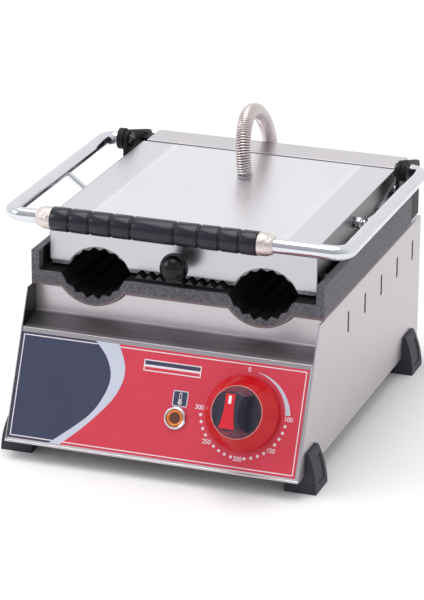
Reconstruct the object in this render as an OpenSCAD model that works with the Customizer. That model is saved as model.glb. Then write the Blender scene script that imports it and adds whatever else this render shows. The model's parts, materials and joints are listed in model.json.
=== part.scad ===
// Twin-channel countertop contact press: fluted cast plates in a steel housing,
// with a floating lid on a tubular handle. Front is -Y, up is +Z, millimetres.

/* [Housing] */
// Width of the housing over the side panels
body_w = 270; // [250:1:300]
// Depth of the housing at its bottom edge
body_depth = 366; // [350:1:400]
// Height of the side panels
body_h = 125; // [120:1:150]
// Height of the housing above the table
foot_lift = 16; // [10:1:30]
// Vertical height of the control panel
panel_rise = 93; // [85:1:97]
// Backward lean of the control panel in degrees
panel_lean = 23.7; // [15:0.1:28]
// Thickness of the steel sheet
sheet = 1.5; // [1:0.1:2]
// Width of the inward flange along the top of a side panel
flange_w = 12; // [8:1:14]
// Depth of the ledge above the control panel
ledge_depth = 29; // [20:1:32]
// Rise of the ledge from its front to its back
ledge_rise = 7; // [2:0.5:10]
// Depth of the shelf along the top of the back panel
shelf_depth = 30; // [24:1:31]

/* [Side slots] */
// Number of slots in a side panel
slot_count = 5; // [1:1:5]
// Width of a slot
slot_w = 4.6; // [1.5:0.1:6]
// Height of a slot
slot_h = 20; // [10:1:30]
// Distance from slot to slot
slot_pitch = 50.5; // [30:0.5:51]
// First slot behind the bottom front edge
slot_start = 137.5; // [110:0.5:145]
// Middle of the slots below the top edge
slot_drop = 26; // [20:1:40]

/* [Feet] */
// Length of a foot along the side
foot_len = 33; // [25:1:45]
// Height of a foot over all
foot_h = 36; // [28:1:45]
// Outward spread of a foot at the table
foot_spread = 11; // [6:0.5:16]
// How far a foot reaches in under the housing
foot_reach = 18; // [12:1:25]
// Front foot behind the bottom front edge
foot_front = 17; // [12:1:40]
// Rear foot in front of the back panel
foot_rear = 20; // [15:1:40]
// Thickness of the foot's plate at its top edge
foot_edge = 2.5; // [1.5:0.1:4]

/* [Cast plates] */
// Front of the lower casting behind the bottom front edge
cast_front = 65; // [60:1:68]
// Length of the lower casting
cast_len = 268; // [255:1:268]
// Thickness of the lower casting's lands
land_t = 13.3; // [11:0.1:16]
// Height of the side walls above the land
wall_h = 18; // [10:1:19]
// Thickness of the side walls
wall_t = 7.5; // [5:0.5:8]
// Distance between the two channels' middles
channel_pitch = 154.6; // [150:0.1:158]
// Radius at the bottom of the flutes
channel_r = 31.5; // [30:0.1:34]
// Depth of a channel in the lower casting
channel_depth = 21.3; // [17:0.1:24]
// Depth of a channel in the upper casting
channel_rise = 19.5; // [16:0.1:21]
// Number of flutes in a channel
flute_count = 7; // [5:1:9]
// Depth of a flute at the bottom of the lower channel
flute_h = 4.2; // [3:0.1:6]
// Depth of a flute at the top of the upper channel
upper_flute_h = 2.8; // [1.5:0.1:5]
// Metal under the flutes
shell_t = 6; // [4:0.5:6]
// Number of ridges on the middle land
ridge_count = 9; // [5:1:9]
// Distance from ridge to ridge
ridge_pitch = 9.3; // [7:0.1:9.4]
// Height of a ridge
ridge_h = 4.2; // [2.5:0.1:5]
// Gap between the closed plates
plate_gap = 2; // [1.8:0.1:3]
// Thickness of the upper casting's lands
upper_t = 10; // [8:0.5:12]

/* [Lid] */
// Gap between the lid and a side wall of the casting
lid_side = 4; // [2.6:0.1:6]
// Front of the lid behind the bottom front edge
lid_front = 80.5; // [76:0.5:84]
// Rear of the lid in front of the casting's rear end
lid_end = 19.7; // [19:0.1:26]
// Top of the lid above the side panels
lid_rise = 59.5; // [57:0.5:64]
// Bottom edge of the cover above the upper casting's underside
lip_h = 4.2; // [3.8:0.1:5]
// Thickness of the cover's sheet
cover_t = 1.2; // [0.8:0.1:2]
// Diameter of the ball knob
ball_d = 25.4; // [20:0.2:30]
// Reach of the ball's middle in front of the lid
ball_reach = 19.5; // [16:0.5:24]
// Height of the ball's middle above the cover's bottom edge
ball_h = 13.5; // [11:0.5:18]

/* [Handle] */
// Diameter of the handle bar
bar_d = 13; // [10:0.5:14]
// Middle of an arm outside the housing
arm_out = 19.3; // [15:0.1:23]
// Front bar behind the bottom front edge
bar_front = 60.6; // [52:0.2:62]
// Height of the bar's middle above the top of the lid
bar_rise = 5; // [3:0.5:9]
// Hinge axis in front of the rear of the lid
hinge_in = 15; // [12:0.5:18]
// Bend radius at the middle of the bar
bend_r = 13; // [11:0.5:18]
// Left end of the grip from the middle plane
grip_left = 112; // [100:1:116]
// Right end of the grip from the middle plane
grip_right = 77; // [70:1:110]
// Diameter of the grip
grip_d = 21.5; // [18:0.5:24]
// Length of a ferrule
ferrule_len = 14; // [8:0.5:16]
// Float pin behind the front of the lid
float_back = 109; // [100:1:118]
// Float pin below the top of the lid
float_drop = 11.5; // [10:0.5:13]
// Diameter of a float pin
float_d = 6; // [6:0.5:9]

/* [Rear] */
// Thickness of a hinge bracket
bracket_t = 4; // [3:0.5:5]
// Gap between the lid and the rear rail
rail_gap = 8; // [8:0.5:9]
// Depth of the rear rail
rail_depth = 35; // [32:0.5:36]
// Gap between an end of the rear rail and the bracket beside it
rail_side = 8; // [4:0.5:12]
// Rear rail below the top of the lid
rail_drop = 1.2; // [0:0.1:3]

/* [Controls] */
// Knob from the middle plane
knob_x = 78.5; // [60:0.5:90]
// Knob up the slope of the panel
knob_up = 53; // [45:0.5:58]
// Diameter of the knob's skirt
skirt_d = 66; // [50:0.5:68]
// Diameter of the knob's core
core_d = 44; // [30:0.5:46]
// Height of the knob over all
knob_h = 44; // [38:0.5:48]
// Signal lamp from the middle plane
lamp_x = 18; // [0:0.5:25]
// Signal lamp up the slope of the panel
lamp_up = 41; // [30:0.5:60]
// Diameter of the lamp's bezel
lamp_d = 20.6; // [16:0.2:24]
// Margin of the decal at the panel's left edge
decal_left = 2; // [1.6:0.1:10]
// Margin of the decal at the panel's right edge
decal_right = 3.5; // [1.6:0.1:10]
// Margin of the decal at the panel's upper and lower edges
decal_edge = 4; // [2:0.5:10]
// Thickness of the decal
decal_t = 0.4; // [0.3:0.05:0.8]

/* [Wiring] */
// Outside diameter of the coiled conduit
conduit_d = 14.4; // [11:0.2:15]
// Wire of the coiled conduit
wire_d = 1.8; // [1.2:0.1:2]
// Number of curls in the conduit
curls = 76; // [40:1:80]
// Diameter of a heating element
element_d = 6.5; // [5:0.5:8]
// Distance between the two legs of an element
element_pitch = 50; // [40:1:60]
// Bore of the mains gland
gland_bore = 9; // [6:0.5:10]
// Reach of the mains gland behind the back panel
gland_reach = 22; // [15:1:30]

/* [Hidden] */
$fn = 64;

// Clearances: standing gap, running fit and fit of a fixed piece in its hole
gap = 0.3;
run = 0.05;
seat = 0.1;
// Overshoot of a cut past the face that it opens
over = 1;

// Heights above the table
body_top = foot_lift + body_h;
panel_top = foot_lift + panel_rise;
land_z = body_top + land_t;
upper_z = land_z + plate_gap;
slab_z = upper_z + upper_t;
cover_z = upper_z + lip_h;
lid_top = body_top + lid_rise;
bar_z = lid_top + bar_rise;
float_z = lid_top - float_drop;
rail_top = lid_top - rail_drop;
ball_z = cover_z + ball_h;

// Places along the depth, from the bottom front edge
panel_back = panel_rise * tan(panel_lean);
panel_len = panel_rise / cos(panel_lean);
wall_y = panel_back + ledge_depth;
ledge_z = panel_top + ledge_rise;
cheek_top_y = body_h * tan(panel_lean);
cast_back = cast_front + cast_len;
lid_back = cast_back - lid_end;
hinge_y = lid_back - hinge_in;
float_y = lid_front + float_back;
rail_front = lid_back + rail_gap;
rail_back = rail_front + rail_depth;
plate_front = lid_front + cover_t + gap;
plate_end = 2;
ridge_in = 8.5;
ridge_end = 4;
plate_back = hinge_y - plate_end;
ridge_front = cast_front + ridge_in;
ridge_back = hinge_y - hinge_in - ridge_end;
shelf_front = body_depth - shelf_depth;

// Places across the width
half_w = body_w / 2;
lid_half = half_w - wall_t - lid_side;
plate_half = lid_half - cover_t - gap;
arm_x = half_w + arm_out;
bracket_x = half_w - bracket_t;
rail_half = bracket_x - rail_side;
channel_x = channel_pitch / 2;
element_x = element_pitch / 2;

// Origin under the middle of the whole object's box
elbow_wall = 2.5;
elbow_off = 2.5;
elbow_d = conduit_d + 2 * elbow_wall;
elbow_y = body_depth + elbow_d / 2 + elbow_off;
core_taper = 10;
knob_front = (knob_up - (core_d - core_taper) / 2) * sin(panel_lean) - knob_h * cos(panel_lean);
rear_reach = max(body_depth + gland_reach, elbow_y + elbow_d / 2);
origin_y = (knob_front + rear_reach) / 2;

// Moves a piece from the bottom front edge to the origin
module placed() translate([0, -origin_y, 0]) children();
// Puts a drawing's x and y on the X and Z axes and draws it out from y0 to y1
module along_y(y0, y1) translate([0, y1, 0]) rotate([90, 0, 0]) linear_extrude(y1 - y0) children();
// Puts a drawing's x and y on the Y and Z axes and draws it out from x0 to x1
module along_x(x0, x1) translate([x0, 0, 0]) rotate([90, 0, 90]) linear_extrude(x1 - x0) children();
module rod_x(x0, x1, y, z, d) translate([x0, y, z]) rotate([0, 90, 0]) cylinder(h = x1 - x0, d = d);
module rod_y(x, y0, y1, z, d) translate([x, y0, z]) rotate([-90, 0, 0]) cylinder(h = y1 - y0, d = d);
module rod_z(x, y, z0, z1, d) translate([x, y, z0]) cylinder(h = z1 - z0, d = d);
module block(x0, x1, y0, y1, z0, z1) translate([x0, y0, z0]) cube([x1 - x0, y1 - y0, z1 - z0]);
// Both hands of a piece drawn on the right
module both() {
  children();
  mirror([1, 0, 0]) children();
}
// Plane of the control panel: x across, y up the slope, z out of the front face
module on_panel(x = 0, up = 0, out = 0)
  translate([0, 0, foot_lift]) rotate([90 - panel_lean, 0, 0]) translate([x, up, out]) children();

// Housing
module cheek_outline()
  polygon([[0, foot_lift], [body_depth, foot_lift], [body_depth, body_top], [cheek_top_y, body_top]]);

module slot_cut(y, z, x0, x1)
  along_x(x0, x1) {
    translate([y, z]) square([slot_w, slot_h - slot_w], center = true);
    for (end = [-1, 1])
      translate([y, z + end * (slot_h - slot_w) / 2]) circle(d = slot_w);
  }

module side_panel() {
  color("silver") placed() difference() {
    union() {
      along_x(half_w - sheet, half_w) cheek_outline();
      block(half_w - flange_w, half_w - sheet / 2, wall_y + sheet + gap, shelf_front - gap,
        body_top - sheet, body_top);
    }
    for (i = [0 : slot_count - 1])
      slot_cut(slot_start + i * slot_pitch, body_top - slot_drop, half_w - sheet - over, half_w + over);
  }
}
module side_panel_right() side_panel();
module side_panel_left() mirror([1, 0, 0]) side_panel();

// Bent front sheet: control panel, ledge and the wall under the casting
module fascia_profile() {
  lean_t = sheet / cos(panel_lean);
  polygon([
    [0, foot_lift],
    [lean_t, foot_lift],
    [panel_back + lean_t - sheet * tan(panel_lean), panel_top - sheet],
    [wall_y + sheet, ledge_z - sheet],
    [wall_y + sheet, body_top - gap],
    [wall_y, body_top - gap],
    [wall_y, ledge_z],
    [panel_back, panel_top]
  ]);
}
module channel_drum(y0, y1, d)
  for (side = [-1, 1])
    rod_y(side * channel_x, y0, y1, land_z + channel_r - channel_depth, d);
drum_d = 2 * (channel_r + shell_t);
shaft_hole = 10;
lamp_hole = lamp_d - 6;
module front_fascia() {
  color("lightgray") placed() difference() {
    along_x(-half_w + sheet, half_w - sheet) fascia_profile();
    channel_drum(panel_back, wall_y + sheet + over, drum_d + 4 * gap);
    on_panel(knob_x, knob_up, -sheet - over) cylinder(h = sheet + 2 * over, d = shaft_hole + 2 * gap);
    on_panel(lamp_x, lamp_up, -sheet - over) cylinder(h = sheet + 2 * over, d = lamp_hole + 2 * seat);
  }
}

gland_in = 45;
gland_x = gland_in - half_w;
gland_up = 32;
gland_z = foot_lift + gland_up;
gland_wall = 3.5;
gland_d = gland_bore + 2 * gland_wall;
elbow_x = -18;
elbow_over = 3;
elbow_top = body_top + elbow_over;
elbow_h = 24;
wire_hole = 6;
wire_way_z = elbow_top - 2 * elbow_h / 3;
module back_panel() {
  color("silver") placed() difference() {
    union() {
      block(-half_w + sheet, half_w - sheet, body_depth - sheet, body_depth, foot_lift, body_top);
      block(-half_w + sheet, half_w - sheet, shelf_front, body_depth, body_top - sheet, body_top);
    }
    channel_drum(cast_front, cast_back + 2 * gap, drum_d + 4 * gap);
    rod_y(gland_x, body_depth - sheet - over, body_depth + over, gland_z, gland_d + 2 * seat);
    rod_y(elbow_x, body_depth - sheet - over, body_depth + over, wire_way_z, wire_hole);
  }
}

floor_t = 1.2;
module base_plate() {
  color("gray") placed() difference() {
    block(-half_w + sheet, half_w - sheet, 2 * sheet, body_depth - sheet, foot_lift, foot_lift + floor_t);
    foot_places() rod_z(half_w - foot_reach / 2, 0, foot_lift - over, foot_lift + floor_t + over,
      screw_d + 2 * seat);
  }
}

// Feet
screw_d = 4;
head_d = 7.6;
head_h = 2.4;
screw_deep = 10;
foot_front_mid = foot_front + foot_len / 2;
foot_rear_mid = body_depth - foot_rear - foot_len / 2;
module foot_places()
  for (side = [0, 1], y = [foot_front_mid, foot_rear_mid])
    mirror([side, 0, 0]) translate([0, y, 0]) children();
// Radius of the bowed outer face, upright at the table
foot_bow = foot_spread - gap - foot_edge;
foot_r = (foot_h * foot_h + foot_bow * foot_bow) / (2 * foot_bow);
foot_taper = 3;
recess_deep = 1;
recess_edge = 7;
module foot_drum(r) rod_y(half_w + foot_spread - foot_r, -foot_len, foot_len, 0, 2 * r);
module foot_side()
  polygon([
    [-foot_len / 2, 0], [foot_len / 2, 0],
    [foot_len / 2 - foot_taper, foot_h], [foot_taper - foot_len / 2, foot_h]
  ]);
module foot_recess()
  difference() {
    block(half_w, half_w + foot_spread + over, recess_edge - foot_len / 2, foot_len / 2 - recess_edge,
      recess_edge, foot_h - recess_edge);
    foot_drum(foot_r - recess_deep);
  }
module foot(mid) {
  color("black") placed() translate([0, mid, 0]) difference() {
    intersection() {
      along_x(half_w - foot_reach, half_w + foot_spread + over) foot_side();
      foot_drum(foot_r);
    }
    block(0, half_w + gap, -foot_len, foot_len, foot_lift - seat, foot_h + over);
    foot_recess();
    rod_z(half_w - foot_reach / 2, 0, foot_lift - screw_deep, foot_lift + over, screw_d);
  }
}
module foot_front_right() foot(foot_front_mid);
module foot_rear_right() foot(foot_rear_mid);
module foot_front_left() mirror([1, 0, 0]) foot(foot_front_mid);
module foot_rear_left() mirror([1, 0, 0]) foot(foot_rear_mid);
module foot_screws() {
  color("silver") placed() foot_places() translate([half_w - foot_reach / 2, 0, 0]) {
    rod_z(0, 0, foot_lift - screw_deep + over, foot_lift + floor_t + seat, screw_d - 2 * seat);
    rod_z(0, 0, foot_lift + floor_t, foot_lift + floor_t + head_h, head_d);
  }
}

// Controls
glue_t = 0.02;
module control_decal() {
  color("crimson") placed() difference() {
    on_panel(-half_w + decal_left, decal_edge, glue_t)
      cube([body_w - decal_left - decal_right, panel_len - 2 * decal_edge, decal_t - glue_t]);
    on_panel(knob_x, knob_up, -over) cylinder(h = decal_t + 2 * over, d = shaft_hole + 2 * gap);
    on_panel(lamp_x, lamp_up, -over) cylinder(h = decal_t + 2 * over, d = lamp_hole + 2 * seat);
  }
}

bezel_h = 3;
bezel_lip = 1.5;
lens_in = 0.6;
module lamp_bezel() {
  color("silver") placed() on_panel(lamp_x, lamp_up, decal_t) difference() {
    union() {
      cylinder(h = bezel_h / 2, d = lamp_d);
      translate([0, 0, bezel_h / 2]) cylinder(h = bezel_h / 2, d1 = lamp_d, d2 = lamp_hole + 2 * bezel_lip);
    }
    translate([0, 0, -over]) cylinder(h = bezel_h + 2 * over, d = lamp_hole + 2 * seat);
  }
}
module lamp_lens() {
  color("orange") placed() on_panel(lamp_x, lamp_up, -sheet)
    cylinder(h = sheet + decal_t + bezel_h - lens_in, d = lamp_hole);
}
lamp_nut = 4;
lamp_deep = 20;
tag_len = 8;
tag_w = 4.8;
tag_t = 0.8;
tag_pitch = 6;
module lamp_body() {
  color("black") placed() on_panel(lamp_x, lamp_up, -sheet) {
    translate([0, 0, -lamp_nut]) cylinder(h = lamp_nut, d = lamp_d);
    translate([0, 0, -lamp_nut - lamp_deep]) cylinder(h = lamp_deep, d = lamp_hole);
    for (side = [-1, 1])
      translate([side * tag_pitch / 2 - tag_t / 2, -tag_w / 2, -lamp_nut - lamp_deep - tag_len])
        cube([tag_t, tag_w, tag_len + over / 2]);
  }
}

stat_depth = 26;
stat_side = 44;
shaft_d = 6;
module thermostat_body() {
  color("gainsboro") placed() on_panel(knob_x, knob_up, -sheet) difference() {
    union() {
      translate([-stat_side / 2, -stat_side / 2, -stat_depth]) cube([stat_side, stat_side, stat_depth]);
      cylinder(h = sheet + decal_t, d = shaft_hole);
    }
    translate([0, 0, -stat_depth / 2]) cylinder(h = stat_depth, d = shaft_d + 2 * run);
  }
}
knob_lift = 1;
core_base = decal_t + knob_lift;
skirt_h = 19.2;
skirt_edge = 5;
skirt_top = 1;
core_step = 4;
shaft_in = 18;
module thermostat_shaft() {
  color("gray") placed() on_panel(knob_x, knob_up, 0)
    translate([0, 0, gap - sheet - stat_depth / 2])
      cylinder(h = stat_depth / 2 + sheet - gap + core_base + shaft_in, d = shaft_d);
}
module knob_skirt() {
  color("red") placed() on_panel(knob_x, knob_up, core_base) rotate_extrude() polygon([
    [core_d / 2 - core_step, 0], [skirt_d / 2, 0], [skirt_d / 2, skirt_edge],
    [core_d / 2 + skirt_top, skirt_h], [core_d / 2 - core_step, skirt_h]
  ]);
}
// Grip of the knob: a bar left between two finger hollows, with an hourglass insert on its face
bar_waist = 19;
hollow_r = 34;
hollow_flare = 3;
hollow_floor = skirt_h + hollow_flare;
pointer_waist = 8.5;
pointer_curve = 90;
pointer_end = 6.8;
pointer_len = core_d - 2 * pointer_end;
pointer_t = 2.2;
waist_up = 8;
module pointer_shape(clear, h)
  difference() {
    translate([-core_d / 2, -pointer_len / 2 - clear, 0]) cube([core_d, pointer_len + 2 * clear, h]);
    both() translate([pointer_curve + pointer_waist / 2, waist_up, -over])
      cylinder(h = h + 2 * over, r = pointer_curve - clear, $fn = 256);
  }
module knob_core() {
  color("black") placed() on_panel(knob_x, knob_up, core_base) difference() {
    union() {
      cylinder(h = skirt_h, d = core_d - 2 * core_step - 2 * seat);
      translate([0, 0, skirt_h])
        cylinder(h = knob_h - core_base - skirt_h, d1 = core_d, d2 = core_d - core_taper);
    }
    both() translate([hollow_r + bar_waist / 2, 0, hollow_floor])
      cylinder(h = knob_h, r1 = hollow_r, r2 = hollow_r + hollow_flare);
    translate([0, 0, -over]) cylinder(h = shaft_in + over, d = shaft_d + 2 * seat);
    translate([0, 0, knob_h - core_base - pointer_t - seat]) pointer_shape(seat, pointer_t + over);
  }
}
module knob_pointer() {
  color("red") placed() on_panel(knob_x, knob_up, knob_h - pointer_t) pointer_shape(0, pointer_t);
}

// Lower casting
// Flutes grow shallow towards the sides, so that the casting leaves its mould
function flute_points(r, depth, h, n) =
  let (reach = acos((r - depth) / r))
  [for (i = [0 : 2 * n])
    let (turn = -reach + i * reach / n, at = i % 2 == 0 ? r : r - h * pow(cos(turn), 2))
    [at * sin(turn), r - depth - at * cos(turn)]];
// Section of a channel below the line y = 0, opened past the line
module channel_section(depth, h) {
  rim = flute_points(channel_r, depth, h, flute_count);
  last = rim[len(rim) - 1];
  polygon(concat(rim, [[last[0], channel_r], [-last[0], channel_r]]));
}
// Row of triangular ridges standing on the line y = 0
module ridge_section() {
  row = ridge_count * ridge_pitch / 2;
  polygon(concat(
    [[-row, -over], [-row, 0]],
    [for (i = [0 : ridge_count - 1])
      each [[(i + 0.5) * ridge_pitch - row, ridge_h], [(i + 1) * ridge_pitch - row, 0]]],
    [[row, -over]]
  ));
}
pad_len = 12;
pad_w = 8;
pad_in = 2;
pad_x = plate_half - pad_w - pad_in;
module lower_plate() {
  color("dimgray") placed() difference() {
    union() {
      block(-half_w, half_w, cast_front, cast_back, body_top, land_z);
      both() block(half_w - wall_t, half_w, cast_front, cast_back, land_z - over, land_z + wall_h);
      both() block(pad_x, pad_x + pad_w, float_y - pad_len / 2, float_y + pad_len / 2,
        land_z - over, upper_z - gap);
      intersection() {
        channel_drum(cast_front, cast_back, drum_d);
        block(-half_w, half_w, cast_front, cast_back, 0, land_z);
      }
      along_y(ridge_front, ridge_back) translate([0, land_z]) ridge_section();
    }
    for (side = [-1, 1])
      along_y(cast_front - over, cast_back + over)
        translate([side * channel_x, land_z]) channel_section(channel_depth, flute_h);
    bolt_places() rod_z(0, 0, bolt_low - seat, land_z + over, bolt_d + 2 * seat);
  }
}

// A heating element: two legs joined by a half ring at the front, with terminal pins behind
element_in = 45;
element_end = 14;
element_front = lid_front + element_in;
element_back = plate_back - element_end;
pin_len = 12;
module element(z) {
  both() {
    rod_y(element_x, element_front, element_back, z, element_d);
    rod_y(element_x, element_back - over, element_back + pin_len, z, element_d / 2);
  }
  translate([0, element_front, z]) rotate([0, 0, 180])
    rotate_extrude(angle = 180) translate([element_x, 0]) circle(d = element_d);
}
clamp_in = 14;
clamp_end = 20;
clamp_y = [element_front + clamp_in, element_back - clamp_end];
clamp_t = 3;
clamp_len = element_pitch + 3 * element_d;
clamp_w = 14;
stud_d = 6;
stud_tip = 1.5;
nut_t = 5;
nut_d = 11.4;
module clamp_bar(y, z0)
  difference() {
    block(-clamp_len / 2, clamp_len / 2, y - clamp_w / 2, y + clamp_w / 2, z0, z0 + clamp_t);
    rod_z(0, y, z0 - over, z0 + clamp_t + over, stud_d + 2 * seat);
  }
lower_bar_z = body_top - element_d - 2 * seat - clamp_t;
upper_bar_z = slab_z + element_d + 2 * seat;
module lower_element() { color("darkslategray") placed() element(body_top - element_d / 2 - seat); }
module lower_clamps() { color("silver") placed() for (y = clamp_y) clamp_bar(y, lower_bar_z); }
module lower_clamp_studs() {
  color("gray") placed() for (y = clamp_y) {
    rod_z(0, y, lower_bar_z - nut_t - stud_tip, body_top, stud_d);
    translate([0, y, lower_bar_z - nut_t]) cylinder(h = nut_t, d = nut_d, $fn = 6);
  }
}
bulb_x = 12;
bulb_len = 90;
bulb_z = body_top - element_d / 2 - seat;
bulb_in = 12;
bulb_front = clamp_y[0] - bulb_in;
module sensor_bulb() {
  color("peru") placed() rod_y(bulb_x, bulb_front, bulb_front + bulb_len, bulb_z, element_d);
}

// Capillary from the thermostat's back to the bulb, by hand-chosen offsets along its way
capillary_d = 2;
stat_back = [knob_x, knob_up * sin(panel_lean) + (sheet + stat_depth) * cos(panel_lean),
  foot_lift + knob_up * cos(panel_lean) - (sheet + stat_depth) * sin(panel_lean)];
bulb_end = [bulb_x, bulb_front, bulb_z];
back_way = [0, cos(panel_lean), -sin(panel_lean)];
capillary_route = [
  stat_back,
  stat_back + 8 * back_way,
  stat_back + 20 * back_way + [-6, 0, 6],
  (stat_back + bulb_end) / 2 + [0, 4, -14],
  bulb_end + [4, -22, -14],
  bulb_end + [0, -12, -4],
  bulb_end
];
function spline(p, u) =
  let (n = len(p) - 1, i = min(floor(u), n - 1), t = u - i,
    a = p[max(i - 1, 0)], b = p[i], c = p[i + 1], d = p[min(i + 2, n)])
  0.5 * (2 * b + (c - a) * t + (2 * a - 5 * b + 4 * c - d) * t * t + (3 * b - a - 3 * c + d) * t * t * t);
function unit(v) = v / norm(v);
// Ring of points round a place, square to its way
function ring(at, way, first, r, sides) =
  let (e = unit(first - (first * way) * way), f = cross(way, e))
  [for (k = [0 : sides - 1]) at + r * (cos(360 * k / sides) * e + sin(360 * k / sides) * f)];
// One closed tube through rings with the same number of sides
module tube(rings, sides) {
  n = len(rings);
  points = [for (one = rings) each one];
  walls = [for (i = [0 : n - 2], k = [0 : sides - 1])
    let (a = i * sides + k, b = i * sides + (k + 1) % sides)
    each [[a, a + sides, b], [b, a + sides, b + sides]]];
  ends = [for (k = [1 : sides - 2])
    each [[0, k, k + 1], [(n - 1) * sides, (n - 1) * sides + k + 1, (n - 1) * sides + k]]];
  polyhedron(points, concat(walls, ends));
}
capillary_steps = 4;
module sensor_capillary() {
  count = (len(capillary_route) - 1) * capillary_steps;
  at = function (i) spline(capillary_route, i / capillary_steps);
  way = function (i) i == 0 ? back_way : i == count ? [0, 1, 0] : unit(at(i + 0.5) - at(i - 0.5));
  color("peru") placed() tube(
    [for (i = [0 : count]) ring(at(i), way(i), [1, 0.3, 0.2], capillary_d / 2, 8)], 8);
}

terminal_w = 60;
terminal_depth = 24;
terminal_h = 20;
terminal_pitch = 18;
terminal_hole = 5;
terminal_row = 5;
terminal_back = 71;
terminal_z = foot_lift + floor_t;
terminal_y = body_depth - terminal_back - terminal_depth / 2;
module terminal_block() {
  color("ivory") placed() difference() {
    block(gland_x - terminal_w / 2, gland_x + terminal_w / 2,
      terminal_y - terminal_depth / 2, terminal_y + terminal_depth / 2, terminal_z, terminal_z + terminal_h);
    for (i = [-1 : 1], row = [-1, 1])
      rod_z(gland_x + i * terminal_pitch, terminal_y + row * terminal_row,
        terminal_z + terminal_h / 2, terminal_z + terminal_h + over, terminal_hole);
  }
}
gland_inside = 6;
gland_flange_t = 5;
gland_flange = 3;
gland_nose = 1;
module mains_gland() {
  color("black") placed() difference() {
    union() {
      rod_y(gland_x, body_depth - sheet - gland_inside, body_depth + gland_flange_t, gland_z, gland_d);
      rod_y(gland_x, body_depth, body_depth + gland_flange_t, gland_z, gland_d + 2 * gland_flange);
      rod_y(gland_x, body_depth + gland_flange_t, body_depth + gland_reach,
        gland_z, gland_d + 2 * gland_nose);
    }
    rod_y(gland_x, body_depth - sheet - gland_inside - over, body_depth + gland_reach + over,
      gland_z, gland_bore);
  }
}

// Rear: hinge brackets on the casting's walls and the rail between them
eye_edge = 2.5;
eye_r = bar_d / 2 + eye_edge;
bracket_over = 1.2;
bracket_back = rail_back + bracket_over;
bracket_low = land_z + wall_h;
bracket_corner = 7;
bracket_drop = 0.5;
bracket_top = lid_top - bracket_drop;
// Leg of a bracket behind the casting
leg_gap = 1;
leg_lift = 5;
leg_front = cast_back + leg_gap;
leg_low = body_top + leg_lift;
// Lug that reaches from a bracket over the wall down to the land, with its bolt
lug_gap = 2.7;
lug_len = 15;
lug_w = 16;
lug_t = 4;
lug_front = lid_back + lug_gap;
lug_back = lug_front + lug_len;
lug_out = half_w - wall_t - gap;
lug_x = lug_out - lug_w;
bolt_d = 6;
bolt_head = 4;
bolt_head_d = 10.5;
bolt_low = body_top + over;
// Tab under each end of the rail, with a stud that hangs from the rail
tab_t = 4;
tab_in = 16;
tab_edge = 9;
tab_top = rail_top - cover_t;
module bracket_outline() {
  front = hinge_y - eye_r;
  hull() {
    translate([hinge_y, bar_z]) circle(r = eye_r);
    translate([bracket_back - bracket_corner, bracket_top - bracket_corner]) circle(r = bracket_corner);
    translate([front, bracket_low]) square([bracket_back - front, over]);
  }
  translate([leg_front, leg_low]) square([bracket_back - leg_front, bracket_low + over - leg_low]);
}
module hinge_bracket() {
  color("black") placed() difference() {
    union() {
      along_x(bracket_x, half_w - gap) bracket_outline();
      block(lug_x, lug_out, lug_front, lug_back, land_z, bracket_low + lug_t);
      block(lug_x, bracket_x + over, lug_front, lug_back, bracket_low, bracket_low + lug_t);
      block(rail_half - tab_in, bracket_x + over, rail_front + tab_edge, rail_back - tab_edge,
        tab_top - tab_t, tab_top);
    }
    rod_x(bracket_x - over, half_w + over, hinge_y, bar_z, bar_d + 2 * run);
    bolt_places() rod_z(0, 0, land_z - over, bracket_low + lug_t + over, bolt_d + 2 * seat);
    rail_places() rod_z(0, 0, tab_top - tab_t - over, tab_top + over, screw_d + 2 * seat);
  }
}
module bolt_places()
  both() translate([lug_x + lug_w / 2, (lug_front + lug_back) / 2, 0]) children();
module rail_places()
  both() translate([rail_half - tab_in / 2, (rail_front + rail_back) / 2, 0]) children();
module hinge_bracket_right() hinge_bracket();
module hinge_bracket_left() mirror([1, 0, 0]) hinge_bracket();
module bracket_bolts() {
  color("silver") placed() bolt_places() {
    rod_z(0, 0, bolt_low, bracket_low + lug_t + seat, bolt_d);
    translate([0, 0, bracket_low + lug_t]) cylinder(h = bolt_head, d = bolt_head_d, $fn = 6);
  }
}
rail_lip = 9;
rail_skirt = 30;
module rear_rail() {
  color("silver") placed() along_x(-rail_half, rail_half) polygon([
    [rail_front, rail_top - rail_lip], [rail_front + cover_t, rail_top - rail_lip],
    [rail_front + cover_t, rail_top - cover_t], [rail_back - cover_t, rail_top - cover_t],
    [rail_back - cover_t, rail_top - rail_skirt], [rail_back, rail_top - rail_skirt],
    [rail_back, rail_top], [rail_front, rail_top]
  ]);
}
module rail_screws() {
  color("silver") placed() rail_places() {
    rod_z(0, 0, tab_top - tab_t - head_h - stud_tip, tab_top, screw_d);
    translate([0, 0, tab_top - tab_t - head_h]) cylinder(h = head_h, d = head_d, $fn = 6);
  }
}

// Coiled conduit from the lid to the back panel, wound along one cubic curve
conduit_in = 65.3;
conduit_y = lid_back - conduit_in;
conduit_x = 0;
rim_h = 0.8;
conduit_start = [conduit_x, conduit_y, lid_top + rim_h + seat];
conduit_end = [elbow_x, elbow_y, elbow_top + seat];
start_side = -10;
start_lean = -6;
start_rise = 92;
end_rise = 84;
end_bow = 24;
start_pull = [start_side, start_lean, start_rise];
end_pull = [0, end_bow, end_rise];
function conduit_at(t) =
  pow(1 - t, 3) * conduit_start + 3 * pow(1 - t, 2) * t * (conduit_start + start_pull)
  + 3 * (1 - t) * pow(t, 2) * (conduit_end + end_pull) + pow(t, 3) * conduit_end;
function conduit_way(t) =
  unit(pow(1 - t, 2) * start_pull + 2 * (1 - t) * t * (conduit_end + end_pull - conduit_start - start_pull)
  - pow(t, 2) * end_pull);
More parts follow.
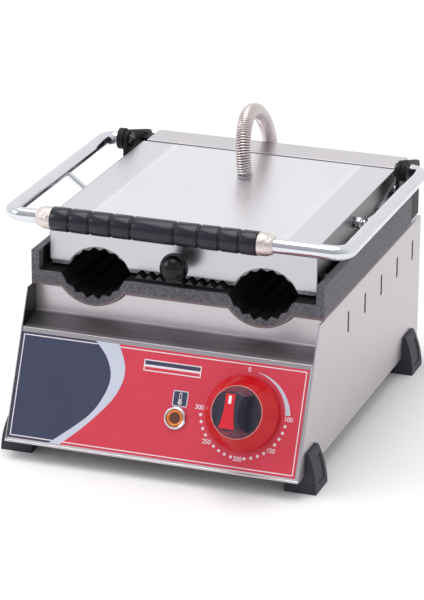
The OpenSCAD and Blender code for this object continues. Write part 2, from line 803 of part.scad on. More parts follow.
// Length of the curve up to each of its steps, so that the curls are evenly spaced
curve_steps = 240;
step_len = [for (i = [1 : curve_steps])
  norm(conduit_at(i / curve_steps) - conduit_at((i - 1) / curve_steps))];
curve_len = [for (i = 0, sum = 0; i <= curve_steps;
  sum = sum + (i < curve_steps ? step_len[i] : 0), i = i + 1) sum];
by_length = [for (i = [0 : curve_steps]) [curve_len[i], i / curve_steps]];
conduit_len = curve_len[curve_steps];
curl_r = (conduit_d - wire_d) / 2;
curl_rings = 8;
wire_sides = 6;
wire_rings = curls * curl_rings;
// Straight end of the wire, square to what it meets
lead = wire_d;
// Place on the curve after i rings of the helix
function ring_place(i) =
  lookup(lead + wire_d / 2 + (conduit_len - 2 * lead - wire_d) * i / wire_rings, by_length);
function wire_at(i) =
  let (t = ring_place(i), way = conduit_way(t), e = unit([1, 0, 0] - way[0] * way), f = cross(way, e),
    turn = 360 * i / curl_rings)
  conduit_at(t) + curl_r * (cos(turn) * e + sin(turn) * f);
wire_line = [for (i = [0 : wire_rings]) wire_at(i)];
wire_first = [wire_line[0][0], wire_line[0][1], conduit_start[2]];
wire_last = [wire_line[wire_rings][0], wire_line[wire_rings][1], conduit_end[2]];
wire_gap = min([for (i = [0 : wire_rings - curl_rings / 2 - 1],
  j = [i + curl_rings / 2 + 1 : min(i + 2 * curl_rings, wire_rings)])
  norm(wire_line[i] - wire_line[j])]) - wire_d;
module conduit() {
  echo(least_gap_between_curls = wire_gap, length_of_conduit = conduit_len);
  up = [0, 0, lead];
  line = concat([wire_first, wire_first + up], wire_line, [wire_last + up, wire_last]);
  n = len(line) - 1;
  way = function (i) i <= 1 ? [0, 0, 1] : i >= n - 1 ? [0, 0, -1] : unit(line[i + 1] - line[i - 1]);
  out = function (i)
    let (at = max(0, min(wire_rings, i - 2))) wire_line[at] - conduit_at(ring_place(at));
  color("tan") placed()
    tube([for (i = [0 : n]) ring(line[i], way(i), out(i), wire_d / 2, wire_sides)], wire_sides);
}
elbow_flange = 9;
elbow_flange_t = 5;
elbow_head = 2.2;
module conduit_elbow() {
  color("gray") placed() difference() {
    union() {
      rod_z(elbow_x, elbow_y, elbow_top - elbow_h, elbow_top, elbow_d);
      block(elbow_x - elbow_d / 2 - elbow_flange, elbow_x + elbow_d / 2 + elbow_flange,
        body_depth, body_depth + elbow_flange_t, elbow_top - elbow_h, body_top - gap);
    }
    rod_z(elbow_x, elbow_y, wire_way_z, elbow_top + over, elbow_d - 4 * elbow_wall);
    rod_y(elbow_x, body_depth - over, elbow_y, wire_way_z, wire_hole);
    elbow_places() rod_y(0, body_depth - over, body_depth + elbow_flange_t + over, 0, screw_d + 2 * seat);
  }
}
module elbow_places()
  for (side = [-1, 1])
    translate([elbow_x + side * (elbow_d + elbow_flange) / 2, 0, (elbow_top - elbow_h + body_top) / 2])
      children();
module elbow_screws() {
  color("silver") placed() elbow_places() {
    rod_y(0, body_depth + seat, body_depth + elbow_flange_t + seat, 0, screw_d);
    rod_y(0, body_depth + elbow_flange_t, body_depth + elbow_flange_t + elbow_head, 0, head_d);
  }
}

// Handle
module bar_bend(x, y, from)
  translate([x, y, bar_z]) rotate([0, 0, from])
    rotate_extrude(angle = 90) translate([bend_r, 0]) circle(d = bar_d);
leg_in = 5;
leg_end = lid_half + leg_in;
module handle_bar() {
  color("silver") placed() {
    rod_x(-arm_x + bend_r, arm_x - bend_r, bar_front, bar_z, bar_d);
    both() {
      rod_y(arm_x, bar_front + bend_r, hinge_y - bend_r, bar_z, bar_d);
      bar_bend(arm_x - bend_r, bar_front + bend_r, -90);
      bar_bend(arm_x - bend_r, hinge_y - bend_r, 0);
      rod_x(leg_end, arm_x - bend_r, hinge_y, bar_z, bar_d);
    }
  }
}
grip_len = grip_left + grip_right;
groove_w = 2.4;
groove_h = 1.2;
// Share of the grip's length at each groove: four short ribs, one long rib, four short ribs
groove_share = [0.09, 0.19, 0.295, 0.395, 0.605, 0.72, 0.82, 0.915];
module grip() {
  color("black") placed() translate([-grip_left, bar_front, bar_z]) rotate([0, 90, 0]) difference() {
    cylinder(h = grip_len, d = grip_d);
    translate([0, 0, -over]) cylinder(h = grip_len + 2 * over, d = bar_d + 2 * seat);
    for (share = groove_share)
      translate([0, 0, share * grip_len - groove_w / 2]) difference() {
        cylinder(h = groove_w, d = grip_d + over);
        translate([0, 0, -over]) cylinder(h = groove_w + 2 * over, d = grip_d - 2 * groove_h);
      }
  }
}
// A ferrule is straight next to the grip and tapers to the bar
ferrule_step = 0.75;
ferrule_lip = 0.9;
ferrule_straight = 8;
module ferrule()
  rotate([0, 90, 0]) difference() {
    union() {
      cylinder(h = ferrule_straight, d = grip_d - 2 * ferrule_step);
      translate([0, 0, ferrule_straight]) cylinder(h = ferrule_len - ferrule_straight,
        d1 = grip_d - 2 * ferrule_step, d2 = bar_d + 2 * ferrule_lip);
    }
    translate([0, 0, -over]) cylinder(h = ferrule_len + 2 * over, d = bar_d + 2 * seat);
  }
module grip_ferrules() {
  color("wheat") placed() translate([0, bar_front, bar_z]) {
    translate([grip_right, 0, 0]) ferrule();
    translate([-grip_left, 0, 0]) mirror([1, 0, 0]) ferrule();
  }
}
// Pin that carries the lid: level through the lid's side, then rising to the arm
ear_t = 9;
pin_out = 9;
pin_in = plate_half - ear_t;
pin_bend = lid_half + pin_out;
rise = bar_z - float_z;
run_out = arm_x - pin_bend;
knuckle = 1.5;
module float_pins() {
  color("silver") placed() both() difference() {
    union() {
      rod_x(pin_in, pin_bend, float_y, float_z, float_d);
      translate([pin_bend, float_y, float_z]) sphere(d = float_d + knuckle);
      translate([pin_bend, float_y, float_z]) rotate([0, atan2(run_out, rise), 0])
        cylinder(h = norm([rise, run_out]), d = float_d);
    }
    rod_y(arm_x, float_y - 2 * bar_d, float_y + 2 * bar_d, bar_z, bar_d + 2 * run);
  }
}
float_nut_t = 4.5;
float_nut_d = 10.6;
nut_gap = 1;
module float_nuts() {
  color("silver") placed() both() translate([lid_half + nut_gap, float_y, float_z])
    rotate([0, 90, 0]) difference() {
    cylinder(h = float_nut_t, d = float_nut_d, $fn = 6);
    translate([0, 0, -over]) cylinder(h = float_nut_t + 2 * over, d = float_d + 2 * seat, $fn = 64);
  }
}
collar_t = 6;
collar_wall = 3.5;
module pivot_collars() {
  color("silver") placed() both() translate([half_w + gap, hinge_y, bar_z])
    rotate([0, 90, 0]) difference() {
    cylinder(h = collar_t, d = bar_d + 2 * collar_wall);
    translate([0, 0, -over]) cylinder(h = collar_t + 2 * over, d = bar_d + 2 * seat);
  }
}

// Lid
upper_axis = upper_z - channel_r + channel_rise;
ear_len = 18;
ear_top = lid_top - cover_t - gap;
module upper_plate() {
  color("dimgray") placed() difference() {
    union() {
      block(-plate_half, plate_half, plate_front, plate_back, upper_z, slab_z);
      intersection() {
        for (side = [-1, 1]) rod_y(side * channel_x, plate_front, plate_back, upper_axis, drum_d);
        block(-plate_half, plate_half, plate_front, plate_back, upper_z, lid_top);
      }
      both() block(pin_in, plate_half, float_y - ear_len / 2, float_y + ear_len / 2, slab_z - over, ear_top);
    }
    for (side = [-1, 1])
      along_y(plate_front - over, plate_back + over) translate([side * channel_x, upper_z])
        mirror([0, 1]) channel_section(channel_rise, upper_flute_h);
    along_y(plate_front - over, plate_back + over) translate([0, upper_z]) ridge_section();
    both() rod_x(pin_in - over, plate_half + over, float_y, float_z, float_d + 2 * run);
    screw_places() rod_x(plate_half - cover_screw - over, plate_half + over, 0, 0, screw_d);
  }
}
cover_screw = 7;
cover_head = 1.8;
cover_head_d = 7.2;
cover_in = 30;
cover_end = 45;
module screw_places()
  for (side = [0, 1], y = [lid_front + cover_in, lid_back - cover_end])
    mirror([side, 0, 0]) translate([0, y, (cover_z + slab_z) / 2]) children();
cut_clear = 0.8;
stem_d = 8;
module lid_cover() {
  color("gainsboro") placed() difference() {
    block(-lid_half, lid_half, lid_front, lid_back, cover_z, lid_top);
    block(-lid_half + cover_t, lid_half - cover_t, lid_front + cover_t, lid_back - cover_t,
      cover_z - over, lid_top - cover_t);
    for (side = [-1, 1])
      rod_y(side * channel_x, lid_front - over, lid_front + cover_t + over / 2, upper_axis,
        2 * (channel_r + cut_clear));
    rod_x(-lid_half - over, lid_half + over, float_y, float_z, float_d + 2 * gap);
    screw_places() rod_x(lid_half - cover_t - over, lid_half + over, 0, 0, screw_d + 2 * seat);
    strap_places() rod_x(lid_half - cover_t - over, lid_half + over, 0, 0, screw_d + 2 * seat);
    rod_y(0, lid_front - over, lid_front + cover_t + over, ball_z, stem_d + 2 * seat);
    rod_z(conduit_x, conduit_y, lid_top - cover_t - over, lid_top + over, wire_hole);
  }
}
module cover_screws() {
  color("silver") placed() screw_places() {
    rod_x(plate_half - cover_screw, lid_half + seat, 0, 0, screw_d - 2 * seat);
    rod_x(lid_half, lid_half + cover_head, 0, 0, cover_head_d);
  }
}
module upper_element() { color("darkslategray") placed() element(slab_z + element_d / 2 + seat); }
module upper_clamps() { color("silver") placed() for (y = clamp_y) clamp_bar(y, upper_bar_z); }
module upper_clamp_studs() {
  color("gray") placed() for (y = clamp_y) {
    rod_z(0, y, slab_z, upper_bar_z + clamp_t + nut_t + stud_tip, stud_d);
    translate([0, y, upper_bar_z + clamp_t]) cylinder(h = nut_t, d = nut_d, $fn = 6);
  }
}
pad_low = max(upper_axis + drum_d / 2, upper_bar_z + clamp_t + nut_t + stud_tip) + gap;
wool_in = 3;
wool_front = 8;
module insulation_pad() {
  color("khaki") placed() difference() {
    block(wool_in - pin_in, pin_in - wool_in, plate_front + wool_front, plate_back - wool_in,
      pad_low, lid_top - cover_t - gap);
    rod_z(conduit_x, conduit_y, pad_low - over, lid_top, wire_hole);
  }
}
stem_in = 5;
stem_seat = 6;
stem_collar = 2;
stem_rim = 2.5;
stem_nut = 4;
stem_nut_d = 13.6;
module ball_stem() {
  color("gray") placed() difference() {
    union() {
      rod_y(0, lid_front - ball_reach + ball_d / 2 - stem_seat, lid_front + cover_t + stem_in,
        ball_z, stem_d);
      rod_y(0, lid_front - stem_collar, lid_front, ball_z, stem_d + 2 * stem_rim);
      translate([0, lid_front + cover_t, ball_z]) rotate([-90, 0, 0])
        cylinder(h = stem_nut, d = stem_nut_d, $fn = 6);
    }
    block(-lid_half, lid_half, plate_front - gap / 2, plate_back, 0, slab_z + gap);
  }
}
module ball_knob() {
  color("black") placed() difference() {
    union() {
      translate([0, lid_front - ball_reach, ball_z]) sphere(d = ball_d);
      rod_y(0, lid_front - ball_reach, lid_front - stem_collar - gap, ball_z, stem_d + 2 * stem_rim);
    }
    rod_y(0, lid_front - ball_reach + ball_d / 2 - stem_seat - gap, lid_front, ball_z, stem_d + 2 * seat);
  }
}
// Flat strap along the rear of each side of the lid
strap_t = 2.5;
strap_w = 9;
strap_len = 52;
strap_drop = 14.4;
strap_end = 6;
strap_bolt = 3;
strap_head = 2;
strap_head_d = 7.2;
strap_z = lid_top - strap_drop;
strap_back = lid_back - strap_end;
strap_tilt = 9.2;
module strap_places()
  for (side = [0, 1], at = [strap_w / 2, strap_len - strap_w / 2])
    mirror([side, 0, 0]) translate([0, strap_back - at, strap_z - at * tan(strap_tilt)]) children();
module stay_straps() {
  color("silver") placed() both() difference() {
    along_x(lid_half, lid_half + strap_t) polygon([
      [strap_back, strap_z - strap_w / 2],
      [strap_back, strap_z + strap_w / 2],
      [strap_back - strap_len, strap_z + strap_w / 2 - strap_len * tan(strap_tilt)],
      [strap_back - strap_len, strap_z - strap_w / 2 - strap_len * tan(strap_tilt)]
    ]);
    strap_places() rod_x(lid_half - over, lid_half + strap_t + over, 0, 0, screw_d + 2 * seat);
  }
}
module strap_bolts() {
  color("silver") placed() strap_places() {
    rod_x(lid_half - cover_t - strap_bolt, lid_half + strap_t + seat, 0, 0, screw_d);
    translate([lid_half + strap_t, 0, 0]) rotate([0, 90, 0])
      cylinder(h = strap_head, d = strap_head_d, $fn = 6);
  }
}
// Nipple inside the lower end of the conduit, on a thin rim
nipple_h = 4.5;
nipple_gap = 1;
nipple_d = 2 * (curl_r * cos(180 / curl_rings) - wire_d / 2 - nipple_gap);
module conduit_nipple() {
  color("silver") placed() difference() {
    union() {
      rod_z(conduit_x, conduit_y, lid_top, lid_top + rim_h, conduit_d);
      rod_z(conduit_x, conduit_y, lid_top, lid_top + nipple_h, nipple_d);
    }
    rod_z(conduit_x, conduit_y, lid_top - over, lid_top + nipple_h + over, wire_hole);
  }
}

side_panel_left();
side_panel_right();
front_fascia();
back_panel();
base_plate();
foot_front_left();
foot_front_right();
foot_rear_left();
foot_rear_right();
foot_screws();
control_decal();
lower_plate();
lower_element();
lower_clamps();
lower_clamp_studs();
thermostat_body();
sensor_bulb();
sensor_capillary();
terminal_block();
lamp_bezel();
lamp_lens();
lamp_body();
mains_gland();
hinge_bracket_left();
hinge_bracket_right();
bracket_bolts();
rear_rail();
rail_screws();
conduit();
conduit_elbow();
elbow_screws();
handle_bar();
grip();
grip_ferrules();
float_pins();
float_nuts();
pivot_collars();
lid_cover();
cover_screws();
upper_plate();
upper_element();
upper_clamps();
upper_clamp_studs();
insulation_pad();
ball_knob();
ball_stem();
stay_straps();
strap_bolts();
conduit_nipple();
knob_skirt();
knob_core();
knob_pointer();
thermostat_shaft();
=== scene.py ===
# %% [markdown]
# # A twin-channel contact press, dressed in Blender
# The press was built in CAD: every plate, pin and screw already has its size and place.
# This lesson loads those solids as a fixed frame and gives them their looks. Nothing is moved or
# resized. A CAD piece either keeps its mesh and gets a finish, or is hidden behind a finer piece.

# %% Load the frame
import json
import math
import bpy
import bmesh
from mathutils import Matrix, Vector


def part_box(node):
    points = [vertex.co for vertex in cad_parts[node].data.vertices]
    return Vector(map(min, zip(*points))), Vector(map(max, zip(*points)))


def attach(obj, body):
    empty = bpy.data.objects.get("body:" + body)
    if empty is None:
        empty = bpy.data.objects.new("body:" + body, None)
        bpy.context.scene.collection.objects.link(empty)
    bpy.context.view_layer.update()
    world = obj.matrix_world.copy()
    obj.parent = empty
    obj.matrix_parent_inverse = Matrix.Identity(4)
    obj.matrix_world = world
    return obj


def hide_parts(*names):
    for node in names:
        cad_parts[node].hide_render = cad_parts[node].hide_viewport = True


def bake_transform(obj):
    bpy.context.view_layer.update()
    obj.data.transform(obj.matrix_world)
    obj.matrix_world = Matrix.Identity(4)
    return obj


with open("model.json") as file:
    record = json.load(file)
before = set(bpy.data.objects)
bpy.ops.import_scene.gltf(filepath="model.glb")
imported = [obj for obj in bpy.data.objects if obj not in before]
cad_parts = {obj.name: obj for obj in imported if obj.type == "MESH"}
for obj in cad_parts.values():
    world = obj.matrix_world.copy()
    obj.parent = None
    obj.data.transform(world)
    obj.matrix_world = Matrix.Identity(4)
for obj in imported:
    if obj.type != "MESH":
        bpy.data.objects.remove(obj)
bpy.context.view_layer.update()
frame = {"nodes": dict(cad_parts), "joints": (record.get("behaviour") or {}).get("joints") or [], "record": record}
nodes = frame["nodes"]
MM = 0.001

# %% [markdown]
# ## The camera
# A product photo is taken from far away with a long lens, so the edges of the housing stay nearly
# parallel. The lens can be given in pixels of the picture: Blender wants it in millimetres on a
# sensor, and one is worked out from the other. The camera's own axes are built from two angles,
# then rolled a little, because the photographed press leans by half a degree.

# %% Camera
PHOTO_HEIGHT = 600
FOCAL_PIXELS = 3172
SENSOR = 36.0
CAMERA_PLACE = Vector((0.883, -2.5392, 1.099))
AZIMUTH = math.radians(19.32)
ELEVATION = math.radians(20.34)
ROLL = math.radians(0.5)
WORLD_UP = Vector((0, 0, 1))

level = math.cos(ELEVATION)
forward = Vector((-math.sin(AZIMUTH) * level, math.cos(AZIMUTH) * level, -math.sin(ELEVATION)))
side = forward.cross(WORLD_UP).normalized()
top = side.cross(forward)
rolled_side = math.cos(ROLL) * side + math.sin(ROLL) * top
rolled_top = math.cos(ROLL) * top - math.sin(ROLL) * side

camera_data = bpy.data.cameras.new("photo_camera")
camera_data.sensor_width = SENSOR
camera_data.lens = SENSOR * FOCAL_PIXELS / PHOTO_HEIGHT
camera = bpy.data.objects.new("photo_camera", camera_data)
bpy.context.collection.objects.link(camera)
turn = Matrix((rolled_side, rolled_top, -forward)).transposed()
camera.matrix_world = Matrix.Translation(CAMERA_PLACE) @ turn.to_4x4()
bpy.context.scene.camera = camera
print("lens", round(camera_data.lens, 1), "mm")

# %% [markdown]
# ## A piece and its finish
# Each mesh made here, but for the conduit's spring and sleeve, belongs to a moving body of the CAD model,
# takes the place of a CAD node where it stands for one, and wears a finish. The finishes are made further
# down, so a piece only writes down the name of its finish, and one loop at the end hands them out.

# %% Helpers that make a piece
finish_of = {}


def make_mesh(name, points, faces, sharp_angle=40):
    mesh = bpy.data.meshes.new(name)
    mesh.from_pydata(points, [], faces)
    work = bmesh.new()
    work.from_mesh(mesh)
    bmesh.ops.recalc_face_normals(work, faces=work.faces)
    work.to_mesh(mesh)
    work.free()
    mesh.shade_smooth()
    mesh.set_sharp_from_angle(angle=math.radians(sharp_angle))
    piece = bpy.data.objects.new(name, mesh)
    bpy.context.collection.objects.link(piece)
    return piece


def dress(piece, body, finish, replaced=()):
    if body:
        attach(piece, body)
    if replaced:
        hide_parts(*replaced)
    finish_of[piece.name] = finish
    print(piece.name, "rides on", body or "two bodies", "in", finish)
    return piece


# %% [markdown]
# ## The coiled conduit
# The wires to the lid run inside a closely wound spring. It stands on the lid, arches over the rear
# rail and goes down to an elbow behind the housing. A curve with a round bevel would give a plain
# hose, so the wire itself is modelled: one tube on a helix, wound round a cubic curve. Points on
# the cubic are spaced by length, or the turns would bunch up at the ends. The ends are taken from
# the CAD fittings.

# %% The curve through the middle of the conduit
CONDUIT_D = 14.4 * MM
START_LEAN = Vector((-10, -6, 92)) * MM
END_LEAN = Vector((0, 24, 84)) * MM
RIM_HEIGHT = 2.7 * MM
ELBOW_D = 19.4 * MM

nipple_low, nipple_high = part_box("conduit_nipple")
elbow_low, elbow_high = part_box("conduit_elbow")
nipple_mid = (nipple_low + nipple_high) / 2
elbow_mid = (elbow_low + elbow_high) / 2
coil_start = Vector((nipple_mid.x, nipple_mid.y, nipple_low.z + RIM_HEIGHT))
coil_end = Vector((elbow_mid.x, elbow_high.y - ELBOW_D / 2, elbow_high.z))
start_pull = coil_start + START_LEAN
end_pull = coil_end + END_LEAN


def cubic(t):
    s = 1 - t
    return s**3 * coil_start + 3 * s * s * t * start_pull + 3 * s * t * t * end_pull + t**3 * coil_end


def even_steps(curve, count, fine=4000):
    samples = [curve(i / fine) for i in range(fine + 1)]
    lengths = [0.0]
    for before, after in zip(samples, samples[1:]):
        lengths.append(lengths[-1] + (after - before).length)
    picked = []
    index = 0
    for step in range(count + 1):
        wanted = lengths[-1] * step / count
        while index < fine - 1 and lengths[index + 1] < wanted:
            index += 1
        share = (wanted - lengths[index]) / (lengths[index + 1] - lengths[index])
        picked.append(samples[index].lerp(samples[index + 1], share))
    return picked, lengths[-1]


# %% Wind the wire round it
WIRE_D = 1.75 * MM
CURLS = 104
RINGS_PER_CURL = 12
WIRE_SIDES = 8

spine, conduit_length = even_steps(cubic, CURLS * RINGS_PER_CURL)
winding_radius = (CONDUIT_D - WIRE_D) / 2
wire_line = []
for i, at in enumerate(spine):
    way = (spine[min(i + 1, len(spine) - 1)] - spine[max(i - 1, 0)]).normalized()
    across = (Vector((1, 0, 0)) - way.x * way).normalized()
    turned = 2 * math.pi * i / RINGS_PER_CURL
    wire_line.append(at + winding_radius * (math.cos(turned) * across + math.sin(turned) * way.cross(across)))


def tube(name, line, centre, radius, sides):
    points = []
    for i, at in enumerate(line):
        way = (line[min(i + 1, len(line) - 1)] - line[max(i - 1, 0)]).normalized()
        out = at - centre[i]
        out = (out - out.dot(way) * way).normalized()
        for k in range(sides):
            angle = 2 * math.pi * k / sides
            points.append(at + radius * (math.cos(angle) * out + math.sin(angle) * way.cross(out)))
    faces = []
    for i in range(len(line) - 1):
        for k in range(sides):
            a = i * sides + k
            b = i * sides + (k + 1) % sides
            faces.append((a, b, b + sides, a + sides))
    faces.append(tuple(range(sides)))
    faces.append(tuple(range(len(points) - sides, len(points))))
    return make_mesh(name, points, faces)


coil = tube("conduit_coil", wire_line, spine, WIRE_D / 2, WIRE_SIDES)
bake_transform(coil)
dress(coil, None, "nickel wire", ["conduit"])
print("conduit", round(conduit_length / MM), "mm long,", CURLS, "curls")

# %% [markdown]
# Between the turns one looks into the spring, where the wires run in a dark sleeve. Without it, light
# would shine through the gaps. It is a plain hose on the same curve, with few rings.

# %% Sleeve inside the spring
SLEEVE_D = 11.6 * MM
SLEEVE_SIDES = 14
sleeve_line = spine[::RINGS_PER_CURL]
sleeve_side = [at - Vector((1, 0, 0)) for at in sleeve_line]
sleeve = tube("conduit_sleeve", sleeve_line, sleeve_side, SLEEVE_D / 2, SLEEVE_SIDES)
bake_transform(sleeve)
dress(sleeve, None, "sleeve brown")

# %% [markdown]
# ## Turned pieces
# The grip, its ferrules, the lamp and the rims are lathe work: one outline turned round an axis.
# Blender's Screw modifier does that too, but a small loop keeps the outline in plain sight as pairs
# of (distance along the axis, radius). A closed outline gives a ring with a bore.

# %% Helper that turns an outline
WELD_REACH = 1e-6


def revolve(name, outline, origin, axis, steps=72, closed=True):
    axis = axis.normalized()
    first = axis.orthogonal().normalized()
    second = axis.cross(first)
    points = []
    for k in range(steps):
        angle = 2 * math.pi * k / steps
        out = math.cos(angle) * first + math.sin(angle) * second
        points += [origin + (along * axis + radius * out) * MM for along, radius in outline]
    count = len(outline)
    faces = []
    for k in range(steps):
        here = k * count
        there = (k + 1) % steps * count
        for i in range(count if closed else count - 1):
            j = (i + 1) % count
            faces.append((here + i, here + j, there + j, there + i))
    piece = make_mesh(name, points, faces, sharp_angle=32)
    work = bmesh.new()
    work.from_mesh(piece.data)
    bmesh.ops.remove_doubles(work, verts=work.verts, dist=WELD_REACH)
    bmesh.ops.recalc_face_normals(work, faces=work.faces)
    work.to_mesh(piece.data)
    work.free()
    return piece


# %% [markdown]
# ## The grip
# A black moulded sleeve on the front bar, parted into nine ribs. Each groove is a shallow V with a
# fine raised line left by the mould at its bottom, and the ribs have rounded shoulders that catch
# the light. The CAD sleeve has plain square grooves, so a turned piece takes its place.

# %% Grip
GROOVE_SHARES = (0.09, 0.19, 0.295, 0.395, 0.605, 0.72, 0.82, 0.915)
GROOVE_HALF = ((0.18, 0.75), (0.4, 1.2), (0.75, 1.15), (1.2, 0.55), (1.55, 0.12), (1.9, 0))
GRIP_EDGE = 0.9
BORE_R = 6.6

grip_low, grip_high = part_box("grip")
grip_mid = (grip_low + grip_high) / 2
grip_length = (grip_high.x - grip_low.x) / MM
grip_r = (grip_high.z - grip_low.z) / 2 / MM
groove = [(-along, deep) for along, deep in reversed(GROOVE_HALF)] + list(GROOVE_HALF)
grip_end = [(0, BORE_R), (0, grip_r - GRIP_EDGE), (GRIP_EDGE / 3, grip_r - GRIP_EDGE / 3),
            (GRIP_EDGE, grip_r)]
grip_outline = list(grip_end)
for share in GROOVE_SHARES:
    grip_outline += [(share * grip_length + along, grip_r - deep) for along, deep in groove]
grip_outline += [(grip_length - along, radius) for along, radius in reversed(grip_end)]
grip = revolve("grip_sleeve", grip_outline, Vector((grip_low.x, grip_mid.y, grip_mid.z)), Vector((1, 0, 0)))
dress(grip, "handle", "glossy black", ["grip"])

# %% [markdown]
# ## The ferrules
# At each end of the grip a soft metal sleeve is pressed on: straight for a little over half of its
# length, then drawn down to the bar with a rolled edge. The pressing leaves it slightly uneven,
# which is done in its finish.

# %% Ferrules
FERRULE_EDGE = 0.4
STRAIGHT_END = 7.2
SHOULDER_END = 8.6
SHOULDER_DROP = 0.35
ROLLED_EDGE = ((1.6, 8.3), (0.9, 7.9), (0.3, 7.6), (0, 7.0), (0, BORE_R))
ferrule_low, ferrule_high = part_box("grip_ferrules")
ferrule_r = (ferrule_high.z - ferrule_low.z) / 2 / MM
ferrule_length = (ferrule_high.x - grip_high.x) / MM
ferrule_outline = [(0, BORE_R), (0, ferrule_r - FERRULE_EDGE), (FERRULE_EDGE, ferrule_r),
                   (STRAIGHT_END, ferrule_r), (SHOULDER_END, ferrule_r - SHOULDER_DROP)]
ferrule_outline += [(ferrule_length - from_end, radius) for from_end, radius in ROLLED_EDGE]
ferrule_ends = {"ferrule_right": (grip_high.x, 1), "ferrule_left": (grip_low.x, -1)}
for name, (place, hand) in ferrule_ends.items():
    ferrule = revolve(name, ferrule_outline, Vector((place, grip_mid.y, grip_mid.z)), Vector((hand, 0, 0)))
    dress(ferrule, "handle", "soft metal", ["grip_ferrules"])

# %% [markdown]
# ## Places on the leaning panel
# The control panel leans back, and everything printed or mounted on it lies in its plane. The dial's
# joint gives that plane: it stands at the middle of the dial and points into the panel. Three axes
# from it turn a place on the panel, in millimetres across, up and out, into a place in the scene.

# %% Panel axes
dial_joint = next(joint for joint in frame["joints"] if joint["name"] == "knob_turn")
DIAL = Vector(dial_joint["pos_m"])
OUT = -Vector(dial_joint["axis"]).normalized()
ACROSS = Vector((1, 0, 0))
UP = OUT.cross(ACROSS)
FILM = 0.4


def on_panel(x, up, out=FILM):
    return DIAL + (x * ACROSS + up * UP + out * OUT) * MM


film_low, film_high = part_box("control_decal")
LEFT = (film_low.x - DIAL.x) / MM
RIGHT = (film_high.x - DIAL.x) / MM
BOTTOM = (film_low.z - DIAL.z) / UP.z / MM
TOP = ((film_high.z - DIAL.z) / MM - FILM * OUT.z) / UP.z
print("film from", round(LEFT, 1), round(BOTTOM, 1), "to", round(RIGHT, 1), round(TOP, 1), "mm")

# %% [markdown]
# The lower and the right edge of the panel are folded back. Each fold shows as a thin round bead, half
# sunk in the sheet.

# %% Folded edges
HEM_R = 1.2
SIDE_HEM_R = 0.7
HEM_SIDES = 20
SHEET_EDGE = 4.0
SIDE_EDGES = (1.8, 3.3)
SIDE_HEM_IN = 1.5
hem_up = BOTTOM - SHEET_EDGE + HEM_R
hems = {"panel_hem_low": (HEM_R, (LEFT - SIDE_EDGES[0], hem_up), (RIGHT + SIDE_EDGES[1], hem_up)),
        "panel_hem_right": (SIDE_HEM_R, (RIGHT + SIDE_HEM_IN, hem_up + 2 * HEM_R),
                            (RIGHT + SIDE_HEM_IN, TOP + SHEET_EDGE - HEM_R))}
for name, (radius, *ends) in hems.items():
    hem_line = [on_panel(x, up, 0) for x, up in ends]
    hem = tube(name, hem_line, [place - OUT for place in hem_line], radius * MM, HEM_SIDES)
    dress(hem, "base", "steel rail")

# %% [markdown]
# ## The printed film
# A film with fields, lines and dial marks is glued on the panel. A mask in the film's material could
# draw all of it, but edges from a mask blur when the finish is baked to a picture. So each colour is
# cut as thin flat shapes that lie on the film, like layers of screen-print ink: sharp at any size.

# %% Helpers that cut and print shapes
INK = 0.05


def smooth_through(points, steps=16):
    """A line through all the points that leaves each one along the chord of its neighbours."""
    padded = [points[0], *points, points[-1]]
    line = []
    for before, first, second, after in zip(padded, padded[1:], padded[2:], padded[3:]):
        for i in range(steps):
            t = i / steps
            place = []
            for a, b, c, d in zip(before, first, second, after):
                bend = 2 * a - 5 * b + 4 * c - d + (3 * b - a - 3 * c + d) * t
                place.append(b + (c - a + bend * t) * t / 2)
            line.append(tuple(place))
    return line + [points[-1]]


def box_shape(x0, y0, x1, y1):
    return [(x0, y0), (x1, y0), (x1, y1), (x0, y1)]


def disc(x, y, radius, steps=28):
    turns = [2 * math.pi * i / steps for i in range(steps)]
    return [(x + radius * math.cos(t), y + radius * math.sin(t)) for t in turns]


def rounded_box(x, y, half_w, half_h, radius, steps=6):
    shape = []
    for quarter, (sx, sy) in enumerate(((1, 1), (-1, 1), (-1, -1), (1, -1))):
        for i in range(steps + 1):
            t = math.pi / 2 * (quarter + i / steps)
            shape.append((x + sx * (half_w - radius) + radius * math.cos(t),
                          y + sy * (half_h - radius) + radius * math.sin(t)))
    return shape


def print_ink(name, shapes, layer, finish, lay=on_panel, base=FILM, body="base"):
    points = []
    faces = []
    for shape in shapes:
        start = len(points)
        count = len(shape)
        points += [lay(x, y, base) for x, y in shape]
        points += [lay(x, y, base + layer * INK) for x, y in shape]
        faces.append(tuple(range(start, start + count)))
        faces.append(tuple(range(start + count, start + 2 * count)))
        for i in range(count):
            j = (i + 1) % count
            faces.append((start + i, start + j, start + count + j, start + count + i))
    return dress(make_mesh(name, points, faces, sharp_angle=20), body, finish)


# %% [markdown]
# A broad navy field lies at the left and the red film shows at the right, parted by a silver sickle.
# Its edges are smooth lines through six points each. A fine pale line runs round inside both fields.

# %% Fields and lines
LINE_IN = 1.9
LINE_W = 0.9
navy_edge = smooth_through([(-142.2, TOP), (-130.2, 31.5), (-124.3, 15.5), (-128.2, -2.0),
                            (-141.0, -22.1), (-172.5, BOTTOM)])
red_edge = smooth_through([(-120.7, TOP), (-112.8, 27.0), (-113.0, 11.5), (-121.5, -6.5),
                           (-142.8, -31.0), (-162.5, BOTTOM)])
print_ink("navy_field", [navy_edge + [(LEFT, BOTTOM), (LEFT, TOP)]], 1, "navy ink")
print_ink("silver_sickle", [navy_edge + red_edge[::-1]], 1, "silver ink")

line_left = LEFT + LINE_IN
line_right = RIGHT - LINE_IN
line_top = TOP - LINE_IN
line_bottom = BOTTOM + LINE_IN


def crossing(edge, height):
    return min(edge, key=lambda point: abs(point[1] - height))[0]


